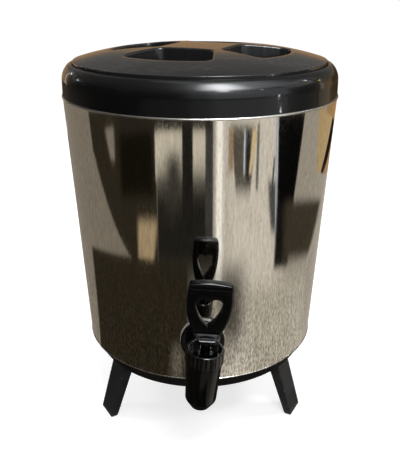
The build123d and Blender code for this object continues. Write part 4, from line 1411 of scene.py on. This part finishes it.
def stage_sheet(name, grid, material):
    """A stage surface from a grid of points in metres, with UVs from 0 to 1 along its columns and rows."""
    rows, columns = grid.shape[:2]
    mesh = bpy.data.meshes.new(name)
    faces = quads(rows, columns, False).reshape(rows - 1, columns, 4)[:, :-1].reshape(-1, 4)
    mesh.from_pydata(grid.reshape(-1, 3).tolist(), [], faces.tolist())
    u, v = np.meshgrid(np.linspace(0, 1, columns), np.linspace(0, 1, rows))
    corners = np.stack([u.ravel(), v.ravel()], 1)[faces.ravel()]
    mesh.uv_layers.new(name="sheet").data.foreach_set("uv", corners.ravel())
    mesh.materials.append(material)
    sheet = bpy.data.objects.new(name, mesh)
    bpy.context.scene.collection.objects.link(sheet)
    return sheet


floor_paint, tree, shader = new_finish("floor paint", colour=(FLOOR_GREY,) * 3, roughness=0.9,
                                       Specular_IOR_Level=0.0, Emission_Strength=1.0)
tint(tree, seen(tree), 0.0, 1.0, (0, 0, 0), (FLOOR_GLOW,) * 3, shader.inputs["Emission Color"])
floor_x, floor_y = np.meshgrid([-FLOOR, FLOOR], [-FLOOR, FLOOR])
stage_sheet("floor", np.stack([floor_x, floor_y, 0 * floor_x], -1), floor_paint)

world = bpy.data.worlds.new("studio")
world.use_nodes = True
bpy.context.scene.world = world
background = world.node_tree.nodes["Background"]
background.inputs["Color"].default_value = (1, 1, 1, 1)
world_strength = ranged(world.node_tree, seen(world.node_tree), 0.0, 1.0, WORLD_LIGHT, WORLD_SEEN)
world.node_tree.links.new(world_strength, background.inputs["Strength"])
print("floor", 2 * FLOOR, "m wide")

# %% [markdown]
# ## Paint for reflection cards
# Polished steel has hardly a colour of its own: it shows what is round it. A picture of a room could be
# wrapped round the set, but plain cards, as a product photographer uses, can be placed one by one. In a
# curved wall a hard card gives a hard band, so a group fades a card's edges, and another streaks the low
# ones like a table top.

# %% Groups for cards
TABLE_GRAIN = 0.22
SHARP = 0.002
HARD = (0, 0)

soft_edge, given, result = new_group("soft edge", "Mask", Across=0.1, Along=0.1)
u, v, _ = parts(soft_edge, given["Vector"])
fades = []
for place, width in ((u, given["Across"]), (v, given["Along"])):
    away = maths(soft_edge, "ABSOLUTE", maths(soft_edge, "SUBTRACT", place, 0.5))
    full = maths(soft_edge, "SUBTRACT", 0.5, width)
    fades.append(ranged(soft_edge, away, 0.5, full, smooth=True))
soft_edge.links.new(maths(soft_edge, "MULTIPLY", *fades), result)

table_grain, given, result = new_group("table grain", "Shade", Streaks=60.0, Waves=22.0)
length = add_node(table_grain, "ShaderNodeVectorMath", [(0, given["Vector"])], operation="LENGTH")
waves = maths(table_grain, "MULTIPLY", length.outputs["Value"], given["Waves"])
table_grain.links.new(streaks(table_grain, given["Vector"], given["Streaks"], waves, 4.0), result)


def card_paint(name, colour, soft, grain_depth):
    """Paint that only glows. Grain makes its colour lighter and darker, and soft edges make it clear over a
    share of the card's width and depth."""
    material, tree, shader = new_finish("card " + name, colour=(0, 0, 0), roughness=1.0,
                                        Specular_IOR_Level=0.0, Emission_Color=(*colour, 1),
                                        Emission_Strength=1.0)
    if grain_depth:
        low, high = [[value * (1 + change) for value in colour] for change in (-grain_depth, grain_depth)]
        tint(tree, place_group(tree, table_grain), *NOISE_RANGE, low, high, shader.inputs["Emission Color"])
    if soft != HARD:
        across_share, along_share = [max(share, SHARP) for share in soft]
        mask = place_group(tree, soft_edge, coordinates="UV", Across=across_share, Along=along_share)
        tree.links.new(mask, shader.inputs["Alpha"])
    return material


print("card groups", [group.name for group in (soft_edge, table_grain)])

# %% [markdown]
# ## Cards on the floor
# The camera looks down, so the upright steel mirrors the floor. There the cards lie in rings about the
# vessel: dark, grey and tan ones, and light ones for the streaks that run down the steel. They are painted
# reflection of a room, and some dark ones near the vessel and the tap are painted shadow on the room's
# floor.
# Each row of the table gives the azimuths of the near and the far edge in degrees, the distances of both in
# metres, the colour, and how much of the width and depth is soft. Later cards lie on top of earlier ones.

# %% Table of floor cards
FLOOR_CARDS = {
    "bench": ((-180, 180), (-180, 180), (0.0, 1.5), (0.48, 0.435, 0.365), HARD),
    "bench_light": ((4, 82), (4, 82), (0.0, 1.5), (0.90, 0.835, 0.73), (0.3, 0)),
    "near_light": ((26, 112), (26, 112), (0.0, 0.47), (0.62, 0.57, 0.48), (0.2, 0.25)),
    "surround": ((-180, 180), (-180, 180), (1.5, 3.0), (0.004, 0.004, 0.004), HARD),
    "haze_left": ((-52, -4), (-52, -4), (1.5, 3.0), (0.18, 0.18, 0.17), (0.25, 0)),
    "haze_middle": ((-14, 16), (-14, 16), (1.5, 3.0), (0.35, 0.36, 0.36), (0.3, 0)),
    "haze_right": ((4, 74), (4, 74), (1.5, 3.0), (0.60, 0.61, 0.62), (0.12, 0)),
    "haze_edge": ((70, 105), (70, 105), (1.5, 3.0), (0.14, 0.14, 0.13), (0.1, 0)),
    "haze_panel": ((105, 128), (105, 128), (1.5, 3.0), (0.50, 0.40, 0.27), (0.1, 0)),
    "left_far": ((-180, -98), (-180, -98), (1.45, 2.1), (0.28, 0.245, 0.195), (0, 0.02)),
    "right_far": ((122, 180), (122, 180), (1.45, 2.1), (0.45, 0.27, 0.12), (0.04, 0.02)),
    "haze_back": ((168, 200), (168, 200), (1.5, 3.0), (0.45, 0.45, 0.44), (0.2, 0)),
    "right_glint": ((62.2, 64.0), (62.2, 64.0), (2.0, 2.4), (40.0, 40.0, 41.0), (0.2, 0.3)),
    "left_grey": ((-180, -60), (-180, -60), (0.0, 1.5), (0.28, 0.245, 0.195), HARD),
    "left_shade": ((-56, -34), (-97, -34), (0.48, 1.04), (0.036, 0.029, 0.019), (0.03, 0.01)),
    "left_upper": ((-97, -34), (-100, -34), (1.02, 1.45), (0.036, 0.029, 0.019), (0.02, 0.03)),
    "left_dark": ((-70, -34), (-70, -34), (0.69, 1.2), (0.010, 0.008, 0.005), (0.18, 0.2)),
    "left_gleam": ((-76, -71), (-83, -69), (0.93, 1.24), (0.30, 0.265, 0.215), (0.3, 0.15)),
    "left_tan": ((-53, -39), (-54, -32), (0.43, 0.67), (0.54, 0.41, 0.245), (0.2, 0.3)),
    "middle_light": ((-36, 8), (-36, 8), (0.80, 1.17), (0.85, 0.78, 0.64), (0.02, 0.2)),
    "middle_grey": ((-35, 9), (-35, 9), (0.20, 1.02), (0.022, 0.020, 0.016), (0.02, 0.4)),
    "middle_hump": ((-36, -8), (-32, -10), (0.58, 1.08), (0.06, 0.055, 0.045), (0.5, 0.4)),
    "left_strip": ((-15, -6), (-15, -6), (0.50, 1.3), (0.02, 0.018, 0.015), (0.1, 0.15)),
    "right_strip": ((2.5, 9), (2.5, 9), (0.50, 1.3), (0.07, 0.066, 0.06), (0.12, 0.15)),
    "top_dark": ((-66, 9), (-66, 9), (1.14, 1.5), (0.03, 0.025, 0.018), (0.02, 0.06)),
    "streak_edge": ((9, 20), (9, 20), (0.4, 1.45), (0.85, 0.80, 0.72), (0.25, 0.03)),
    "streak": ((10.5, 17), (10.5, 17), (0.4, 1.45), (1.40, 1.35, 1.25), (0.3, 0.03)),
    "grey_panel": ((27, 38), (21, 43), (0.70, 1.25), (0.13, 0.115, 0.09), (0.08, 0.22)),
    "tan_bar": ((20, 24.5), (20, 24.5), (0.84, 1.20), (0.42, 0.30, 0.18), (0.2, 0.15)),
    "dark_bar": ((34.3, 38), (34.3, 38), (0.78, 1.19), (0.025, 0.025, 0.027), (0.15, 0.15)),
    "thin_line": ((32.2, 33.7), (32.2, 33.7), (0.84, 1.16), (0.80, 0.90, 1.00), (0.25, 0.1)),
    "gold_bar": ((36.5, 38.5), (39, 44), (0.84, 1.18), (0.92, 0.72, 0.40), (0.15, 0.1)),
    "thin_bar": ((42.6, 45.4), (42.6, 45.4), (0.76, 1.22), (0.20, 0.19, 0.165), (0.2, 0.05)),
    "right_shade": ((58, 67), (51, 65), (0.54, 0.86), (0.11, 0.10, 0.085), (0.3, 0.25)),
    "short_bar": ((57, 58.4), (58, 60), (0.755, 0.97), (0.05, 0.05, 0.05), (0.2, 0.1)),
    "right_dark": ((64, 80), (60.5, 89), (0.66, 1.42), (0.003, 0.003, 0.003), (0.02, 0.03)),
    "right_edge": ((62.4, 64.3), (58.8, 60.6), (0.55, 1.33), (0.50, 0.62, 0.78), (0.2, 0.05)),
    "right_tail": ((60, 78), (62, 81), (0.43, 0.72), (0.012, 0.010, 0.008), (0.15, 0.12)),
    # Painted shadow: a soft brown shadow on the floor to the right of the vessel.
    "right_brown": ((68, 106), (66, 138), (0.43, 0.75), (0.065, 0.052, 0.036), (0.16, 0.22)),
    "right_tan": ((113, 121), (107, 141), (0.88, 1.5), (0.60, 0.43, 0.22), (0.04, 0.02)),
    "right_black": ((121, 128), (141, 160), (0.88, 1.5), (0.012, 0.008, 0.005), (0.05, 0.02)),
    "right_rust": ((128, 140), (160, 178), (0.88, 1.5), (0.50, 0.28, 0.12), (0.05, 0.02)),
    "back_grey": ((158, 206), (152, 212), (0.25, 1.5), (0.46, 0.42, 0.35), (0.1, 0.05)),
    "back_streak": ((176, 186), (176, 186), (0.3, 1.45), (1.10, 1.05, 0.95), (0.3, 0.03)),
    "back_dark": ((194, 205), (194, 209), (0.45, 1.35), (0.04, 0.035, 0.025), (0.1, 0.1)),
    # Painted shadow: the shaded floor close in front of the vessel, left of the tap.
    "near_left": ((-85, -9), (-112, -9), (0.13, 0.50), (0.034, 0.027, 0.017), (0.03, 0.06)),
    "near_tap": ((-26, -10), (-26, -10), (0.19, 0.30), (0.16, 0.14, 0.11), (0.45, 0.45)),
    # Painted shadow: the tap's shadow on the floor to its right, and the shade in front of the tap.
    "near_right": ((4, 38), (4, 44), (0.20, 0.53), (0.12, 0.105, 0.085), (0.45, 0.4)),
    "tap_shade": ((-12, 14), (-12, 14), (0.18, 0.32), (0.02, 0.018, 0.015), (0.1, 0.1)),
    # Painted shadow: the dark floor under the vessel.
    "under": ((-180, 180), (-180, 180), (0.0, 0.187), (0.03, 0.026, 0.02), HARD),
}
print("floor cards", len(FLOOR_CARDS))

# %% [markdown]
# ## Cards on the walls
# The collar's shoulder and the lid look up and outward, so cards also stand round the set and hang over
# it. Small bright ones make the glints on the black plastic, and a large key card the collar's broad
# highlight. Each row gives the azimuths, the distances and the heights of both edges in metres, the colour
# and the softness.

# %% Table of wall cards
CEILING = 2.6
WALL_CARDS = {
    "front_low": ((-135, 110), (3.0, 3.0), (0.0, 1.5), (0.02, 0.02, 0.02), HARD),
    "front_high": ((-135, 110), (3.0, 3.0), (1.5, CEILING), (0.12, 0.11, 0.10), HARD),
    "back_low": ((110, 225), (3.0, 3.0), (0.0, 0.78), (0.60, 0.36, 0.17), HARD),
    "back_high": ((110, 225), (3.0, 3.0), (0.78, CEILING), (0.20, 0.195, 0.185), HARD),
    "back_middle": ((166, 191), (2.95, 2.95), (0.6, 1.22), (0.56, 0.34, 0.165), (0.2, 0.2)),
    "back_dark": ((128, 162), (2.95, 2.95), (0.0, 0.7), (0.06, 0.032, 0.014), (0.1, 0.1)),
    "ceiling": ((-180, 180), (0.9, 3.0), (CEILING, CEILING), (0.20, 0.19, 0.18), HARD),
    "skylight": ((-180, 180), (0.0, 0.9), (CEILING, CEILING), (1.0, 1.05, 1.1), HARD),
    "glow_middle": ((-16, 16), (2.9, 2.9), (0.1, 1.9), (0.5, 0.52, 0.54), (0.3, 0.2)),
    "glow_right": ((2, 76), (2.9, 2.9), (0.1, 1.9), (1.2, 1.25, 1.3), (0.12, 0.2)),
    "side_right": ((70, 108), (2.9, 2.9), (1.2, CEILING), (1.0, 1.0, 0.95), (0.1, 0.1)),
    "panel_edge": ((108, 114), (2.9, 2.9), (0.0, 1.0), (1.2, 1.15, 1.05), (0.1, 0.1)),
    "halo": ((-10, 100), (1.94, 0.61), (1.35, 2.47), (2.2, 2.35, 2.5), (0.3, 0.25)),
    "key_card": ((-8, 48), (1.22, 0.42), (1.06, 1.60), (34.0, 35.0, 36.0), (0.5, 0.35)),
    "key_core": ((10, 26), (1.38, 0.90), (0.96, 1.50), (26.0, 26.0, 26.0), (0.45, 0.35)),
    "left_line": ((-140.8, -138.6), (2.8, 2.8), (0.0, 1.0), (2.4, 2.3, 2.1), (0.2, 0.05)),
    "left_top": ((-138.5, -134.5), (2.8, 2.8), (0.98, 1.13), (9.0, 9.0, 8.5), (0.2, 0.2)),
    "left_spot": ((-120, -116), (2.8, 2.8), (0.97, 1.13), (12.0, 12.5, 12.0), (0.2, 0.2)),
    "right_spot": ((101, 105), (2.8, 2.8), (1.86, 2.08), (20.0, 20.0, 20.0), (0.2, 0.2)),
    "amber_spot": ((111.3, 114.6), (2.8, 2.8), (1.09, 1.28), (12.0, 9.0, 2.0), (0.2, 0.2)),
    "right_line": ((60.2, 62.2), (2.3, 2.3), (0.03, 0.42), (22.0, 22.0, 23.0), (0.25, 0.3)),
    "front_spot": ((49.5, 52.5), (2.8, 2.8), (1.72, 1.95), (14.0, 14.0, 13.0), (0.2, 0.2)),
}
print("wall cards", len(WALL_CARDS))

# %% [markdown]
# ## Hanging the cards
# A card is a sheet between two arcs. It is hidden from all but glossy rays, so it neither lights the set
# nor shows behind the vessel. The floor cards lie a tenth of a millimetre above each other. That is enough
# to keep their order, and too little to see.

# %% Hang the cards
LAYER = 0.0001


def ring_sheet(near, far, distances, heights, steps=49):
    """A sheet between two arcs about the vessel, each with its own azimuths, distance and height."""
    azimuth = np.radians(np.stack([np.linspace(*near, steps), np.linspace(*far, steps)]))
    radius = np.array(distances)[:, None]
    height = np.array(heights)[:, None] + 0 * azimuth
    return np.stack([radius * np.sin(azimuth), -radius * np.cos(azimuth), height], -1)


def hang_card(name, grid, colour, soft, grain_depth=0.0):
    """A card that only reflections see."""
    sheet = stage_sheet("card_" + name, grid, card_paint(name, colour, soft, grain_depth))
    sheet.visible_camera = False
    sheet.visible_diffuse = False
    sheet.visible_shadow = False
    sheet.visible_transmission = False


for layer, (name, (near, far, distances, colour, soft)) in enumerate(FLOOR_CARDS.items(), 1):
    hang_card(name, ring_sheet(near, far, distances, (layer * LAYER,) * 2), colour, soft, TABLE_GRAIN)
for name, (azimuths, distances, heights, colour, soft) in WALL_CARDS.items():
    hang_card(name, ring_sheet(azimuths, azimuths, distances, heights), colour, soft)
print("cards", len(FLOOR_CARDS) + len(WALL_CARDS))

# %% [markdown]
# ## Lamps
# The lamps are large and near, so shadows stay soft. They only light the black plastic and the floor. In a
# gloss they would show as plain squares, so they are hidden from it, and the cards make the highlights.

# %% Lamps
LAMP_DISTANCE = 1.6
LAMP_AIM = 0.25
LAMPS = {
    "key": (16, 48, (0.5, 0.25), 9.0),
    "top": (0, 80, (0.45, 0.3), 8.0),
    "rim_left": (-100, 40, (0.3, 0.3), 6.0),
    "rim_right": (100, 40, (0.3, 0.3), 9.5),
}


def hang_lamp(name, azimuth, elevation, size, watts):
    """A soft rectangular lamp that faces the vessel from an azimuth counted from the front."""
    light = bpy.data.lights.new(name, "AREA")
    light.shape = "RECTANGLE"
    light.size, light.size_y = size
    light.energy = watts
    holder = bpy.data.objects.new(name, light)
    bpy.context.scene.collection.objects.link(holder)
    a, e = radians(azimuth), radians(elevation)
    away = LAMP_DISTANCE * cos(e)
    holder.location = (away * sin(a), -away * cos(a), LAMP_AIM + LAMP_DISTANCE * sin(e))
    holder.rotation_euler = (radians(90 - elevation), 0, a)
    holder.visible_glossy = False


for name, settings in LAMPS.items():
    hang_lamp(name, *settings)
print("lamps", list(LAMPS))

# %% [markdown]
# ## Camera
# The camera stands where the photograph was taken: in front, a little to the left, above the collar and
# looking down. Its distance and lens go together: from nearer, with a shorter lens, the lid would look
# larger and the feet smaller.

# %% Camera
CAMERA_AZIMUTH = -1.1
CAMERA_DISTANCE = 0.630
CAMERA_RISE = 0.1047
CAMERA_PITCH = 22.0
CAMERA_LENS = 48.84
camera_data = bpy.data.cameras.new("camera")
camera_data.lens = CAMERA_LENS
camera = bpy.data.objects.new("camera", camera_data)
bpy.context.scene.collection.objects.link(camera)
turn = radians(CAMERA_AZIMUTH)
camera.location = (CAMERA_DISTANCE * sin(turn), -CAMERA_DISTANCE * cos(turn), collar_z * MM + CAMERA_RISE)
camera.rotation_euler = (radians(90 - CAMERA_PITCH), 0, turn)
bpy.context.scene.camera = camera
bpy.context.scene.view_settings.view_transform = "Standard"
print("camera", [round(value, 4) for value in camera.location])
